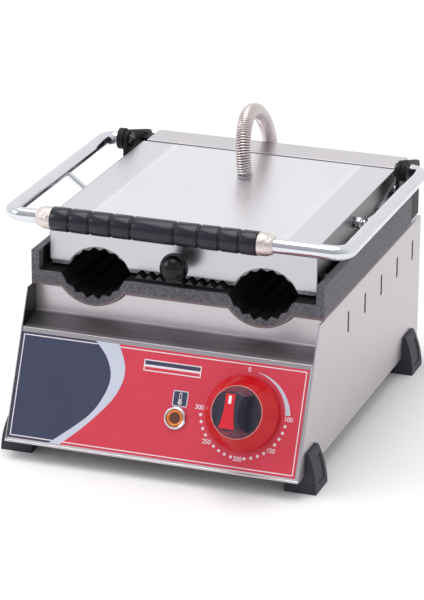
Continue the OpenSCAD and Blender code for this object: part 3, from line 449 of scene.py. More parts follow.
navy_end_top = crossing(navy_edge, line_top)
navy_end_low = crossing(navy_edge, line_bottom)
red_end_top = crossing(red_edge, line_top)
red_end_low = crossing(red_edge, line_bottom)
lines = []
for x0, x1, top_end, low_end in ((line_left, line_left + LINE_W, navy_end_top, navy_end_low),
                                 (line_right, line_right - LINE_W, red_end_top, red_end_low)):
    lines.append([(top_end, line_top), (x0, line_top), (x0, line_bottom), (low_end, line_bottom),
                  (low_end, line_bottom + LINE_W), (x1, line_bottom + LINE_W), (x1, line_top - LINE_W),
                  (top_end, line_top - LINE_W)])
print_ink("field_lines", lines, 2, "pale ink")

# %% [markdown]
# Above the lamp sits a small box of three stripes, and over the lamp a plain thermometer sign. Both
# are stacked layers: a pale card, then the coloured shapes a hair higher.

# %% Stripe box and thermometer sign
STRIPE_BOX = (-95.6, 24.8, -43.0, 34.9)
STRIPE_LINE = 1.0
NAVY_END = 4.4
RED_END = 3.7
x0, y0, x1, y1 = STRIPE_BOX
stripe_left = x0 + STRIPE_LINE
stripe_right = x1 - STRIPE_LINE
print_ink("stripe_card", [box_shape(x0, y0, x1, y1)], 1, "pale ink")
navy_stripe = box_shape(stripe_left, y1 - NAVY_END, stripe_right, y1 - STRIPE_LINE)
red_stripe = box_shape(stripe_left, y0 + STRIPE_LINE, stripe_right, y0 + RED_END)
print_ink("stripe_navy", [navy_stripe], 2, "navy ink")
print_ink("stripe_red", [red_stripe], 2, "red ink")

SIGN_X = -58.4
SIGN_UP = 5.0
SIGN_HALF = 6.9
SIGN_CORNER = 1.6
FIELD_HALF = SIGN_HALF - 0.9
FIELD_CORNER = 1.0
STEM_UP = SIGN_UP + 0.4
STEM_HALF_W = 1.25
STEM_HALF_H = 4.8
STEM_CORNER = 1.2
BULB_UP = SIGN_UP - 3.4
BULB_R = 1.9
COLUMN_UP = SIGN_UP + 1.9
COLUMN_HALF_W = 0.75
COLUMN_HALF_H = 2.6
COLUMN_CORNER = 0.7
print_ink("sign_card", [rounded_box(SIGN_X, SIGN_UP, SIGN_HALF, SIGN_HALF, SIGN_CORNER)], 1, "silver ink")
sign_field = rounded_box(SIGN_X, SIGN_UP, FIELD_HALF, FIELD_HALF, FIELD_CORNER)
print_ink("sign_field", [sign_field], 2, "navy ink")
thermometer = [rounded_box(SIGN_X, STEM_UP, STEM_HALF_W, STEM_HALF_H, STEM_CORNER),
               disc(SIGN_X, BULB_UP, BULB_R)]
print_ink("sign_thermometer", thermometer, 3, "pale ink")
column = rounded_box(SIGN_X, COLUMN_UP, COLUMN_HALF_W, COLUMN_HALF_H, COLUMN_CORNER)
print_ink("sign_column", [column], 4, "navy ink")

# %% [markdown]
# ## The dial marks
# Clockwise from the top: 0, a wedge that widens up to 100, then 150, 200, 250 and 300, with four dots
# before each of these. The digits are text curves, turned into thin meshes.

# %% Wedge and dots
def on_dial(degrees, radius):
    turn = math.radians(degrees)
    return (radius * math.sin(turn), radius * math.cos(turn))


WEDGE_IN = 37.1
WEDGE_OUT = (37.5, 41.7)
WEDGE_TURN = (13, 85)
WEDGE_STEPS = 36
DOT_R = 1.35
DOT_RING = 38.7
DOT_START = 90
DOTS_BETWEEN = 4
NUMBER_TURN = 45
NUMBER_GAPS = 4
DOT_TURN = NUMBER_TURN / (DOTS_BETWEEN + 1)
inner = []
outer = []
for i in range(WEDGE_STEPS + 1):
    share = i / WEDGE_STEPS
    degrees = WEDGE_TURN[0] + share * (WEDGE_TURN[1] - WEDGE_TURN[0])
    inner.append(on_dial(degrees, WEDGE_IN))
    outer.append(on_dial(degrees, WEDGE_OUT[0] + share * (WEDGE_OUT[1] - WEDGE_OUT[0])))
print_ink("dial_wedge", [inner + outer[::-1]], 1, "silver ink")
dots = []
for number_gap in range(NUMBER_GAPS):
    for i in range(DOTS_BETWEEN):
        degrees = DOT_START + NUMBER_TURN * number_gap + DOT_TURN * (i + 1)
        dots.append(disc(*on_dial(degrees, DOT_RING), DOT_R))
print_ink("dial_dots", dots, 1, "pale ink")

# %% Digits
DIGIT_HEIGHT = 5.7
DIGIT_SWELL = 0.06
DIGIT_SPACING = 0.92
DIAL_NUMBERS = {"0": (0, 37.9), "100": (90, 40.3), "150": (135, 40.3), "200": (180, 39.4),
                "250": (226, 40.9), "300": (270, 40.2)}
panel_turn = Matrix((ACROSS, UP, OUT)).transposed().to_4x4()
for text, (degrees, radius) in DIAL_NUMBERS.items():
    letters = bpy.data.curves.new("dial_" + text, "FONT")
    letters.body = text
    letters.size = DIGIT_HEIGHT * MM
    letters.align_x = "CENTER"
    letters.align_y = "CENTER"
    letters.extrude = INK * MM / 2
    letters.offset = DIGIT_SWELL * MM
    letters.space_character = DIGIT_SPACING
    writing = bpy.data.objects.new("dial_text_" + text, letters)
    bpy.context.collection.objects.link(writing)
    bpy.context.view_layer.update()
    flat = bpy.data.meshes.new_from_object(writing.evaluated_get(bpy.context.evaluated_depsgraph_get()))
    bpy.data.objects.remove(writing)
    number = bpy.data.objects.new("dial_" + text, flat)
    bpy.context.collection.objects.link(number)
    number.matrix_world = Matrix.Translation(on_panel(*on_dial(degrees, radius), FILM + INK / 2)) @ panel_turn
    dress(number, "base", "pale ink")

# %% [markdown]
# ## The knob's skirt
# Under the black core sits a glossy red skirt: an upright wall, then a slope up to the core. In CAD the
# slope is a straight cone. Here it is a little full, the outer rim is rounded, because a gloss finish
# shows every edge as a line of light, and a thin pale ring round the core is a painted highlight.

# %% Knob skirt
skirt_low, skirt_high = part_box("knob_skirt")
SKIRT_R = (skirt_high.x - skirt_low.x) / 2 / MM
SKIRT_FOOT = 1.4
SKIRT_TOP = 20.6
CORE_R = 22.0
SKIRT_BORE_R = 18.1
KNOB_STEPS = 120
WALL = ((SKIRT_FOOT, 0.8), (SKIRT_FOOT + 0.3, 0.2), (SKIRT_FOOT + 0.9, 0), (5.4, 0), (6.2, 0.15), (6.9, 0.55),
        (7.6, 1.15))
SLOPE = ((10.5, 29.9), (14.0, 27.7), (17.0, 25.6), (19.4, 23.7), (SKIRT_TOP - 0.5, 23.1),
         (SKIRT_TOP - 0.1, CORE_R + 0.6), (SKIRT_TOP, CORE_R + 0.2))
wall_outline = [(rise, SKIRT_R - inside) for rise, inside in WALL]
skirt_outline = [(SKIRT_FOOT, SKIRT_BORE_R), *wall_outline, *SLOPE, (SKIRT_TOP, SKIRT_BORE_R)]
skirt = revolve("knob_skirt_gloss", skirt_outline, DIAL, OUT, steps=KNOB_STEPS)
dress(skirt, "knob", "knob red", ["knob_skirt"])
# A thin pale pink ring round the core: a painted highlight on the skirt's inner rim.
RIM_HIGHLIGHT_R = 0.4
RIM_HIGHLIGHT_UP = SKIRT_TOP + 0.2
RIM_HIGHLIGHT_RING = CORE_R + 0.6
rim_highlight_outline = [(y, x) for x, y in disc(RIM_HIGHLIGHT_RING, RIM_HIGHLIGHT_UP, RIM_HIGHLIGHT_R, 10)]
dress(revolve("knob_rim_line", rim_highlight_outline, DIAL, OUT, steps=KNOB_STEPS), "knob", "rim pink")

# %% [markdown]
# ## The knob's pale line
# A short rounded line on the red insert shows where the knob points. It turns with the knob.

# %% Pointer line
pointer_corners = nodes["knob_pointer"].data.vertices
KNOB_TOP = max((corner.co - DIAL).dot(OUT) for corner in pointer_corners) / MM
POINTER_UP = 9.8
POINTER_HALF_W = 1.3
POINTER_HALF_H = 3.6
POINTER_CORNER = 0.9
pointer_line = rounded_box(0, POINTER_UP, POINTER_HALF_W, POINTER_HALF_H, POINTER_CORNER)
print_ink("pointer_line", [pointer_line], 4, "white paint", base=KNOB_TOP, body="knob")

# %% [markdown]
# ## The signal lamp
# A chromed rim holds an amber lens. The lens has a raised clear ring and a sunken middle, behind which
# the unlit bulb looks brown. Both are turned outlines round the lamp's own axis.

# %% Lamp rim and lens
lens_low, lens_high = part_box("lamp_lens")
LAMP_X = ((lens_low.x + lens_high.x) / 2 - DIAL.x) / MM
bezel_low, bezel_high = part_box("lamp_bezel")
bezel_mid = (bezel_low + bezel_high) / 2
LAMP_UP = (bezel_mid - DIAL).dot(UP) / MM
RIM_R = 10.3
LENS_R = 7.3
LENS_EDGE = LENS_R - 0.02
RIM = ((0, LENS_R), (0, RIM_R), (0.9, RIM_R), (1.7, RIM_R - 0.35), (2.3, RIM_R - 1.0), (2.6, RIM_R - 1.7),
       (2.4, RIM_R - 2.3), (1.6, LENS_R + 0.15), (1.0, LENS_R))
LENS = ((-1.8, 0), (-1.8, LENS_EDGE), (1.2, LENS_EDGE), (1.9, LENS_R - 0.5), (2.1, LENS_R - 1.1),
        (1.8, LENS_R - 1.8), (1.0, LENS_R - 2.2), (0.9, LENS_R - 3.0), (1.3, 2.2), (1.5, 0))
lamp_place = on_panel(LAMP_X, LAMP_UP)
dress(revolve("lamp_rim", RIM, lamp_place, OUT), "base", "chrome", ["lamp_bezel"])
dress(revolve("lamp_glass", LENS, lamp_place, OUT, closed=False), "base", "amber glass",
      ["lamp_lens"])

# %% [markdown]
# ## Soft edges on the CAD pieces
# CAD solids end in perfectly sharp edges, and nothing real does. A bent sheet has a small radius, a
# casting a larger one. Three modifiers give it and move no point of the CAD mesh: Weld joins the loose
# triangles, Decimate in planar mode merges those that lie in one plane, and Bevel rounds what is left.
# Weighted Normal then keeps the flat faces flat in the shading.

# %% Edge radius for each kind of piece
EDGE_RADIUS = {"stainless": 0.45, "plain_sheet": 0.3, "foot_plastic": 1.1, "fasteners": 0.35,
               "cast_plate": 1.3, "clamp_steel": 0.35, "ceramic": 0.8, "black_plastic": 0.8,
               "bracket_paint": 0.7, "elbow_zinc": 0.8, "bar_chrome": 0.3, "knob_red": 0.5, "wool": 2.0}
NODE_RADIUS = {"lid_cover": 0.9, "knob_pointer": 0.3, "ball_stem": 0.3}
FLAT_ANGLE = math.radians(0.6)
BEVEL_ANGLE = math.radians(32)
BEVEL_SEGMENTS = 3
slot_of = {row["node"]: row["material_slot"] for row in frame["record"]["subparts"]}


def soften(piece, radius):
    mesh = piece.data
    if "custom_normal" in mesh.attributes:
        mesh.attributes.remove(mesh.attributes["custom_normal"])
    mesh.shade_smooth()
    weld = piece.modifiers.new("weld", "WELD")
    weld.merge_threshold = WELD_REACH
    merge = piece.modifiers.new("merge_flat", "DECIMATE")
    merge.decimate_type = "DISSOLVE"
    merge.angle_limit = FLAT_ANGLE
    bevel = piece.modifiers.new("soft_edge", "BEVEL")
    bevel.width = radius * MM
    bevel.segments = BEVEL_SEGMENTS
    bevel.limit_method = "ANGLE"
    bevel.angle_limit = BEVEL_ANGLE
    bevel.use_clamp_overlap = True
    normals = piece.modifiers.new("flat_faces", "WEIGHTED_NORMAL")
    normals.keep_sharp = True


softened = 0
for name, piece in nodes.items():
    radius = NODE_RADIUS.get(name, EDGE_RADIUS.get(slot_of[name]))
    if radius and not piece.hide_render:
        soften(piece, radius)
        softened += 1
print(softened, "CAD pieces with soft edges")

# %% [markdown]
# ## Writing shaders as sums
# A node tree is hard to read as text. Here a small class wraps one socket of a node: adding or
# multiplying two of them adds a Math node. Any other node comes from one method that takes its type,
# its settings and what goes into its sockets.

# %% Socket class
class Wire:
    """One output of a shader node, ready for arithmetic."""

    def __init__(self, socket):
        self.socket = socket

    @classmethod
    def node(cls, tree, kind, settings=None, sockets=None, output=0):
        made = tree.nodes.new(kind)
        for name, value in (settings or {}).items():
            setattr(made, name, value)
        for key, value in (sockets or {}).items():
            if isinstance(value, Wire):
                tree.links.new(value.socket, made.inputs[key])
            else:
                made.inputs[key].default_value = value
        return cls(made.outputs[output])

    def math(self, operation, *values):
        settings = {"operation": operation}
        return Wire.node(self.socket.id_data, "ShaderNodeMath", settings, dict(enumerate(values)))

    def __add__(self, other):
        return self.math("ADD", self, other)

    def __mul__(self, other):
        return self.math("MULTIPLY", self, other)

    def __sub__(self, other):
        return self.math("SUBTRACT", self, other)

    def __rsub__(self, other):
        return self.math("SUBTRACT", other, self)

    def __truediv__(self, other):
        return self.math("DIVIDE", self, other)

    def __gt__(self, other):
        return self.math("GREATER_THAN", self, other)

    def __lt__(self, other):
        return self.math("LESS_THAN", self, other)

    def __pow__(self, other):
        return self.math("POWER", self, other)

    def __abs__(self):
        return self.math("ABSOLUTE", self)

    __radd__ = __add__
    __rmul__ = __mul__

    def clamped(self):
        limited = self * 1
        limited.socket.node.use_clamp = True
        return limited


# %% [markdown]
# A finish starts from a Principled shader. What is the same all over is set on its sockets; what varies
# is linked. Places come from object coordinates, which are metres in the press's own frame here, so a
# noise scale of 1000 has grains of about a millimetre.

# %% Helpers for finishes
CLOUD_SCALE = 60
finishes = {}


def tone(red, green, blue):
    """A colour given as it looks on screen, turned into the linear light that shaders use."""
    shares = [value / 255 for value in (red, green, blue)]
    linear = [s / 12.92 if s <= 0.04045 else ((s + 0.055) / 1.055) ** 2.4 for s in shares]
    return (*linear, 1.0)


def start_finish(name, **constants):
    material = bpy.data.materials.new(name.replace(" ", "_"))
    material.use_nodes = True
    tree = material.node_tree
    shader = tree.nodes["Principled BSDF"]
    for key, value in constants.items():
        shader.inputs[key.replace("_", " ")].default_value = value
    finishes[name] = material
    return tree, shader


def feed(tree, shader, **links):
    for key, wire in links.items():
        tree.links.new(wire.socket, shader.inputs[key.replace("_", " ")])


def places(tree):
    coordinates = Wire.node(tree, "ShaderNodeTexCoord", output=3)
    parts = Wire.node(tree, "ShaderNodeSeparateXYZ", sockets={0: coordinates}).socket.node
    return coordinates, [Wire(socket) for socket in parts.outputs]


def grain(tree, coordinates, scale, detail=2.0, stretch=(1, 1, 1)):
    vector = Wire.node(tree, "ShaderNodeVectorMath", {"operation": "MULTIPLY"}, {0: coordinates, 1: stretch})
    return Wire.node(tree, "ShaderNodeTexNoise", {}, {"Vector": vector, "Scale": scale, "Detail": detail})


def blend_colours(tree, factor, first, second):
    return Wire.node(tree, "ShaderNodeMix", {"data_type": "RGBA"}, {0: factor, 6: first, 7: second}, output=2)


def relief(tree, height, depth, strength=1.0):
    sockets = {"Height": height, "Distance": depth, "Strength": strength}
    return Wire.node(tree, "ShaderNodeBump", {}, sockets)


# %% [markdown]
# ## Stainless sheet
# The housing and the lid are satin stainless steel. The rollers leave a fine grain along the sheet,
# which shows as faint streaks in the shine more than in the colour, and hands leave dull clouds. The
# lid is polished brighter, and on its top two shallow creases run front to back where the sheet is
# stiffened from below, each lightened by a painted highlight. Painted shade darkens the lid outside the
# creases, on its front face and on its sides. Two more places are dark with painted shade: the ledge
# above the panel, streaked along its grain, and the inner face of the left cheek, which carries a
# painted dark reflection, near black. The fold under the panel carries a painted highlight. Masks made
# from places on the press tell them apart.

# %% Stainless finishes
CREASE_X = 89.5 * MM
CREASE_W = 4.5 * MM
CREASE_DEPTH = 0.3 * MM
STREAK_SCALE = 900
SHEET_CLOUD_SCALE = 14
_, fascia_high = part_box("front_fascia")
panel_back_y = on_panel(0, TOP).y
cheek_low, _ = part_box("side_panel_left")


def steel_sheet(name, light, dark, stretch, shine, streak=0.4):
    tree, shader = start_finish(name, Metallic=1.0)
    where, sides = places(tree)
    streaks = grain(tree, where, STREAK_SCALE, 3, stretch)
    clouds = grain(tree, where, SHEET_CLOUD_SCALE, 3)
    colour = blend_colours(tree, streaks * streak + clouds * (1 - streak), dark, light)
    feed(tree, shader, Base_Color=colour, Roughness=shine + streaks * (streak / 8) + clouds * 0.08)
    return tree, shader, sides, streaks, colour


STEEL_LIGHT = tone(207, 202, 206)
STEEL_DARK = tone(194, 189, 193)
ALONG_X = (0.02, 1, 1)
ALONG_Y = (1, 0.02, 1)
ALONG_Z = (1, 1, 0.02)
steel_sheet("steel upright", STEEL_LIGHT, STEEL_DARK, ALONG_Z, 0.36)
steel_sheet("dull sheet", tone(190, 188, 190), tone(160, 158, 160), ALONG_X, 0.42)
steel_sheet("steel rail", tone(216, 212, 216), tone(206, 202, 206), ALONG_X, 0.24)
print("plain stainless finishes")

# %% Lid with creases
SKIN = 0.6 * MM
cover_low, cover_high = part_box("lid_cover")
lid_light = tone(238, 237, 242)
lid_dark = tone(229, 228, 233)
tree, shader, (x, y, _), _, colour = steel_sheet("steel lid", lid_light, lid_dark, ALONG_Y, 0.26, 0.12)
crease = (1 - abs(abs(x) - CREASE_X) / CREASE_W).clamped()
soft_crease = crease * crease * (3 - 2 * crease)
outer_painted_shade = ((abs(x) - CREASE_X) / CREASE_W).clamped()
# Painted shade: the sheet outside the creases is darker.
colour = blend_colours(tree, outer_painted_shade * 0.6, colour, tone(210, 210, 220))
# Painted highlight: a pale line along each crease.
colour = blend_colours(tree, soft_crease * 0.4, colour, tone(248, 247, 251))
# Painted shade: the lid's front face is darker.
colour = blend_colours(tree, y < cover_low.y + SKIN, colour, tone(200, 198, 204))
# Painted shade: the lid's side faces are dark.
colour = blend_colours(tree, abs(x) > cover_high.x - SKIN, colour, tone(112, 106, 110))
feed(tree, shader, Base_Color=colour, Normal=relief(tree, soft_crease * -1.0, CREASE_DEPTH))
print("creases", round(CREASE_X / MM, 1), "mm from the middle")

# %% Fascia with a dark ledge
LEDGE_FADE = 8 * MM
WALL_BEFORE = 3 * MM
WALL_FADE = 2 * MM
tree, shader, (_, y, z), streaks, colour = steel_sheet("steel across", STEEL_LIGHT, STEEL_DARK, ALONG_X, 0.26)
behind_panel = ((y - panel_back_y) / LEDGE_FADE).clamped()
before_wall = ((fascia_high.y - WALL_BEFORE - y) / WALL_FADE).clamped()
# Painted shade on the ledge above the panel, streaked along the grain.
ledge_painted_shade = behind_panel * before_wall * (streaks * 0.7 + 0.5).clamped()
# Painted highlight: the fold under the panel is lighter.
colour = blend_colours(tree, z < on_panel(0, BOTTOM).z, colour, tone(240, 236, 240))
feed(tree, shader, Base_Color=blend_colours(tree, ledge_painted_shade * 0.8, colour, tone(96, 93, 98)))
print("ledge from", round(panel_back_y, 4), "to", round(fascia_high.y, 4))

# %% Left cheek with a painted dark reflection
REFLECTION_IN = 0.9 * MM
tree, shader, (x, y, _), _, colour = steel_sheet("steel cheek", STEEL_LIGHT, STEEL_DARK, ALONG_Z, 0.36)
# Painted reflection: the cheek's inner face is near black.
cheek_painted_reflection = (x > cheek_low.x + REFLECTION_IN) * (y < fascia_high.y)
feed(tree, shader, Base_Color=blend_colours(tree, cheek_painted_reflection * 0.97, colour, tone(24, 22, 26)))
print("strip from", round(cheek_low.x + REFLECTION_IN, 4), "inward")

# %% [markdown]
# ## Cast plates
# The two plates are sand cast and stay rough: pale specks of metal over a dark grey skin. Where the
# plates meet, and in the channels, painted shade makes them near black, but for the front faces. A brown
# film of old fat sits along the lower rim. Places in the press tell these apart: the distance from a
# channel's axis, the height and the depth. Inside two joined shapes, the distance to their common outline
# is the larger of the two distances, which gives the rim of the lower plate.

# %% Places on the castings
CHANNEL_X = 77.3 * MM
CHANNEL_R = 31.8 * MM
BOSS_R = 37.5 * MM
WALL_H = 18 * MM
WALL_T = 7.5 * MM
LAND_T = 13.3 * MM
RIDGE_IN = 8.5 * MM
FACE_DEPTH = 1.4 * MM
AXIS_OVER_LAND = 10.2 * MM
FAT_REACH = 3.2 * MM
FAT_FADE = 1.6 * MM
plate_low, plate_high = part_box("lower_plate")
upper_low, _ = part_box("upper_plate")
LAND_Z = plate_high.z - WALL_H
CHANNEL_Z = LAND_Z + AXIS_OVER_LAND
print("land at", round(LAND_Z, 4), "and channels", round(2 * CHANNEL_X / MM, 1), "mm apart")


# %% Cast skin
SPECK_SCALE = 1500
PIT_SCALE = 420
PIT_DEPTH = 0.16 * MM


def cast_skin(name, dark, light):
    tree, shader = start_finish(name, Metallic=0.4, Specular_IOR_Level=0.35)
    where, sides = places(tree)
    specks = grain(tree, where, SPECK_SCALE, 2)
    pits = grain(tree, where, PIT_SCALE, 3)
    clouds = grain(tree, where, CLOUD_SCALE, 3)
    speckle = ((specks * 0.6 + pits * 0.4 - 0.38) * 3.0).clamped()
    feed(tree, shader, Roughness=0.5 + speckle * 0.2,
         Normal=relief(tree, specks * 0.5 + pits, PIT_DEPTH, 0.7))
    return tree, shader, sides, clouds, blend_colours(tree, speckle, dark, light)


PAINTED_SHADE_TONE = tone(16, 15, 16)
PAINTED_SHADE_SHARE = 0.95
tree, shader, (x, y, z), clouds, skin = cast_skin("cast", tone(66, 64, 70), tone(138, 135, 143))
from_axis = ((abs(x) - CHANNEL_X) ** 2 + (z - CHANNEL_Z) ** 2) ** 0.5
to_outline = (z - LAND_Z + LAND_T).math("MAXIMUM", z - LAND_Z + LAND_T, BOSS_R - from_axis)
rim = ((FAT_REACH - to_outline) / FAT_FADE).clamped() * (clouds * 1.8 - 0.2).clamped()
skin = blend_colours(tree, rim * 0.75, skin, tone(150, 128, 126))
behind_face = y > plate_low.y + FACE_DEPTH
inside = (from_axis < CHANNEL_R) * behind_face
ridge_face = (y < plate_low.y + RIDGE_IN + SKIN) * (z > LAND_Z + SKIN)
on_land = (z > LAND_Z - SKIN) * (abs(x) < plate_high.x - WALL_T + SKIN) * behind_face * (1 - ridge_face)
# Painted shade: near black in the channels and on the land, behind the front faces.
painted_shade = inside.math("MAXIMUM", inside, on_land) * PAINTED_SHADE_SHARE
feed(tree, shader, Base_Color=blend_colours(tree, painted_shade, skin, PAINTED_SHADE_TONE))

tree, shader, (_, y, _), _, skin = cast_skin("cast upper", tone(120, 116, 120), tone(196, 190, 194))
# Painted shade: the upper plate is near black behind its front face.
behind_face = y > upper_low.y + SKIN
feed(tree, shader, Base_Color=blend_colours(tree, behind_face * PAINTED_SHADE_SHARE, skin, PAINTED_SHADE_TONE))
print("castings baked behind y", round(plate_low.y + FACE_DEPTH, 4), "and", round(upper_low.y + SKIN, 4))

# %% [markdown]
# ## Chrome, nickel and other metals
# Polished metals have almost no colour of their own: what they mirror makes their look. A trace of
# noise in the roughness keeps them from looking like glass. The handle's ends inside the hinge brackets
# are coloured near black. The coil is warmer, the ferrules are soft and uneven, and small screws are zinc
# plated.

# %% Bright metals
def bright_metal(name, light, dark, shine, clouding, bump_scale=0, bump_depth=0.0):
    tree, shader = start_finish(name, Metallic=1.0)
    where, sides = places(tree)
    clouds = grain(tree, where, CLOUD_SCALE, 3)
    colour = blend_colours(tree, clouds, dark, light)
    feed(tree, shader, Base_Color=colour, Roughness=shine + clouds * clouding)
    if bump_scale:
        feed(tree, shader, Normal=relief(tree, grain(tree, where, bump_scale, 2), bump_depth))
    return tree, shader, sides, colour


CHROME = (tone(230, 231, 237), tone(212, 214, 222), 0.05, 0.08)
bright_metal("chrome", *CHROME)
bracket_low, bracket_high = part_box("hinge_bracket_right")
tree, shader, (x, y, _), colour = bright_metal("bar chrome", *CHROME)
# The handle's ends inside the hinge brackets are coloured near black.
pivot_end = (abs(x) < bracket_high.x) * (y > bracket_low.y)
feed(tree, shader, Base_Color=blend_colours(tree, pivot_end * 0.95, colour, tone(30, 28, 31)))
bright_metal("nickel wire", tone(230, 221, 220), tone(210, 200, 199), 0.24, 0.14)
bright_metal("soft metal", tone(238, 229, 224), tone(206, 194, 188), 0.3, 0.2, 260, 1.1 * MM)
bright_metal("zinc", tone(220, 220, 224), tone(180, 180, 186), 0.24, 0.2)
bright_metal("plain steel", tone(200, 200, 204), tone(165, 165, 170), 0.3, 0.2)
bright_metal("element steel", tone(96, 92, 92), tone(62, 60, 62), 0.42, 0.2)
bright_metal("copper", tone(214, 150, 112), tone(176, 112, 80), 0.25, 0.2)

# %% [markdown]
# ## Plastics, paint and ink
# Moulded plastic has a faint skin texture. Glossy pieces get a clear coat and hardly any bump; the feet
# and the gland are matt with a fine spark-eroded grain. Printed ink is thin and satin.

# %% Plastics, paints and inks
PLASTIC_CLOUD_SCALE = 45


def moulded(name, light, dark, shine, texture=0.0, coat=0.0, texture_scale=1500, specular=0.5):
    tree, shader = start_finish(name, Metallic=0.0, Coat_Weight=coat, Coat_Roughness=0.06,
                                Specular_IOR_Level=specular)
    where, _ = places(tree)
    clouds = grain(tree, where, PLASTIC_CLOUD_SCALE, 3)
    feed(tree, shader, Base_Color=blend_colours(tree, clouds, dark, light), Roughness=shine + clouds * 0.1)
    if texture:
        skin = grain(tree, where, texture_scale, 2)
        feed(tree, shader, Normal=relief(tree, skin, texture * MM))


moulded("glossy black", tone(36, 36, 49), tone(27, 27, 38), 0.22, 0.008, 0.4, specular=0.2)
moulded("ball black", tone(24, 23, 28), tone(17, 16, 20), 0.16, 0.004, 0.2, specular=0.2)
moulded("core black", tone(58, 58, 73), tone(45, 45, 58), 0.22, 0.01, 0.3, specular=0.35)
moulded("foot black", tone(58, 58, 66), tone(46, 46, 54), 0.5, 0.05, specular=0.35)
moulded("matt black", tone(34, 34, 37), tone(24, 24, 27), 0.5, 0.04)
moulded("bracket black", tone(28, 26, 29), tone(20, 19, 21), 0.42, 0.05, 0.0, 900, 0.2)
moulded("sleeve brown", tone(132, 116, 110), tone(110, 96, 91), 0.5, 0.04)
moulded("knob red", tone(202, 18, 30), tone(188, 14, 25), 0.16, 0.006, 0.2, specular=0.25)
# Pale pink of the painted highlight round the knob's core.
moulded("rim pink", tone(240, 176, 170), tone(232, 164, 160), 0.3)
moulded("pointer red", tone(222, 46, 60), tone(213, 38, 52), 0.22, 0.006, 0.2, specular=0.3)
moulded("red ink", tone(217, 62, 82), tone(209, 52, 73), 0.4, 0.01, 0.15)
moulded("navy ink", tone(60, 65, 92), tone(51, 56, 82), 0.36, 0.01, 0.15)
moulded("silver ink", tone(208, 213, 228), tone(196, 201, 217), 0.4, 0.01, 0.1)
moulded("pale ink", tone(240, 228, 234), tone(232, 218, 226), 0.45, 0.01)
moulded("white paint", tone(250, 246, 242), tone(238, 234, 230), 0.3, 0.01, 0.2)
moulded("ceramic white", tone(226, 221, 208), tone(206, 200, 186), 0.6, 0.06)
moulded("grey zinc", tone(128, 128, 132), tone(104, 104, 108), 0.45, 0.08)
moulded("mineral wool", tone(206, 196, 160), tone(166, 152, 116), 0.95, 0.6, 0.0, 500)

# %% [markdown]
# The lens of the lamp is amber at its raised ring and brown in its middle. The distance from a point in
# the middle of the lens mixes the two.

# %% Amber glass
LENS_HEIGHT = 1.5
RING_FROM = 4.6 * MM
RING_FADE = 0.7 * MM
RAY_SCALE = 900
tree, shader = start_finish("amber glass", Roughness=0.12, Coat_Weight=0.6, Coat_Roughness=0.05)
where, _ = places(tree)
from_lamp = Wire.node(tree, "ShaderNodeVectorMath", {"operation": "DISTANCE"},
                      {0: where, 1: on_panel(LAMP_X, LAMP_UP, FILM + LENS_HEIGHT)}, output=1)
ring = ((from_lamp - RING_FROM) / RING_FADE).clamped()
rays = grain(tree, where, RAY_SCALE, 2)
middle = blend_colours(tree, rays, tone(74, 38, 26), tone(120, 66, 40))
amber = blend_colours(tree, rays, tone(214, 104, 20), tone(244, 150, 48))
feed(tree, shader, Base_Color=blend_colours(tree, ring, middle, amber))
print("amber lens at", [round(value, 4) for value in lamp_place])

# %% [markdown]
# ## Handing out the finishes
# Each CAD piece takes the finish of its material slot. A few pieces differ from the rest of their slot,
# such as the side panels, whose grain stands upright.

# %% Finishes for the CAD pieces
SLOT_FINISH = {"stainless": "steel across", "plain_sheet": "dull sheet", "foot_plastic": "foot black",
               "fasteners": "zinc", "panel_print": "red ink", "cast_plate": "cast",
               "element_sheath": "element steel", "clamp_steel": "plain steel", "ceramic": "ceramic white",
               "copper": "copper", "bezel_chrome": "chrome", "lamp_amber": "amber glass",
               "black_plastic": "matt black", "bracket_paint": "bracket black", "conduit_wire": "nickel wire",
               "elbow_zinc": "grey zinc", "bar_chrome": "chrome", "grip_plastic": "glossy black",
               "ferrule_metal": "soft metal", "wool": "mineral wool", "knob_red": "knob red"}
NODE_FINISH = {"side_panel_left": "steel cheek", "side_panel_right": "steel upright",
               "back_panel": "steel upright", "rear_rail": "steel rail", "lid_cover": "steel lid",
               "knob_core": "core black", "ball_knob": "ball black", "ball_stem": "ball black",
               "upper_plate": "cast upper", "float_nuts": "plain steel", "strap_bolts": "plain steel",
               "pivot_collars": "bracket black", "bracket_bolts": "bracket black",
               "knob_pointer": "pointer red", "handle_bar": "bar chrome"}
for name, piece in nodes.items():
    finish_of[name] = NODE_FINISH.get(name, SLOT_FINISH[slot_of[name]])
for name, finish in finish_of.items():
    mesh = bpy.data.objects[name].data
    mesh.materials.clear()
    mesh.materials.append(finishes[finish])
print(len(finish_of), "pieces wear", len(finishes), "finishes")

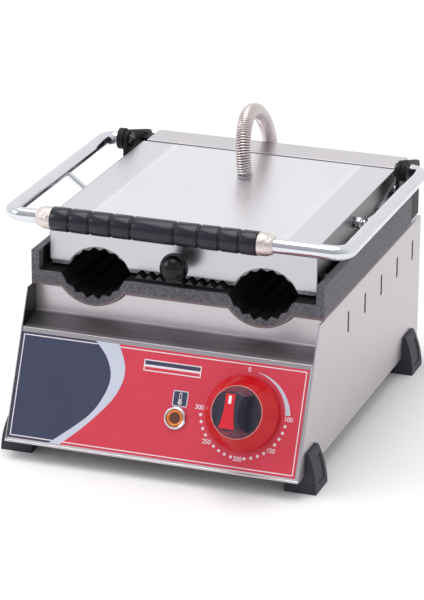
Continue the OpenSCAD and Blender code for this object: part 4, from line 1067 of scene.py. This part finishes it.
# %% [markdown]
# ## Floor and light
# A catalogue photo is shot on a white sweep under large soft boxes. The floor is a wide pale plane. The
# world is a white dome, greyer on the camera's side, so that polished metal has something to
# mirror. One big box overhead and one at the left give the broad highlights.

# %% Floor
FLOOR_HALF = 6.0
corners = [(-FLOOR_HALF, -FLOOR_HALF, 0), (FLOOR_HALF, -FLOOR_HALF, 0),
           (FLOOR_HALF, FLOOR_HALF, 0), (-FLOOR_HALF, FLOOR_HALF, 0)]
floor = make_mesh("studio_floor", corners, [(0, 1, 2, 3)])
start_finish("pale floor", Roughness=0.9, Base_Color=(0.93, 0.93, 0.93, 1), Specular_IOR_Level=0.1)
floor.data.materials.append(finishes["pale floor"])

# %% Dome
DOME_WHITE = (1.0, 1.0, 1.0, 1)
DOME_GREY = (0.5, 0.51, 0.53, 1)
DOME_STRENGTH = 0.95
GREY_FROM = 0.15
world = bpy.data.worlds.new("studio_dome")
bpy.context.scene.world = world
world.use_nodes = True
tree = world.node_tree
ray = Wire.node(tree, "ShaderNodeTexCoord", output=0)
ray_y = Wire.node(tree, "ShaderNodeSeparateXYZ", sockets={0: ray}, output=1)
toward_camera = (GREY_FROM - ray_y).clamped()
dome = blend_colours(tree, toward_camera, DOME_WHITE, DOME_GREY)
tree.links.new(dome.socket, tree.nodes["Background"].inputs["Color"])
tree.nodes["Background"].inputs["Strength"].default_value = DOME_STRENGTH


# %% Soft boxes
def soft_box(name, place, target, width, height, power):
    light = bpy.data.lights.new(name, "AREA")
    light.shape = "RECTANGLE"
    light.size = width
    light.size_y = height
    light.energy = power
    lamp = bpy.data.objects.new(name, light)
    bpy.context.collection.objects.link(lamp)
    way = Vector(target) - Vector(place)
    lamp.matrix_world = Matrix.Translation(place) @ way.to_track_quat("-Z", "Y").to_matrix().to_4x4()


soft_box("overhead_box", (-0.3, -0.2, 2.6), (0, 0, 0.1), 2.2, 1.6, 30)
soft_box("left_box", (-2.2, -1.4, 1.5), (0, 0, 0.15), 1.2, 1.2, 14)
bpy.context.scene.view_settings.view_transform = "Standard"
print("two soft boxes")
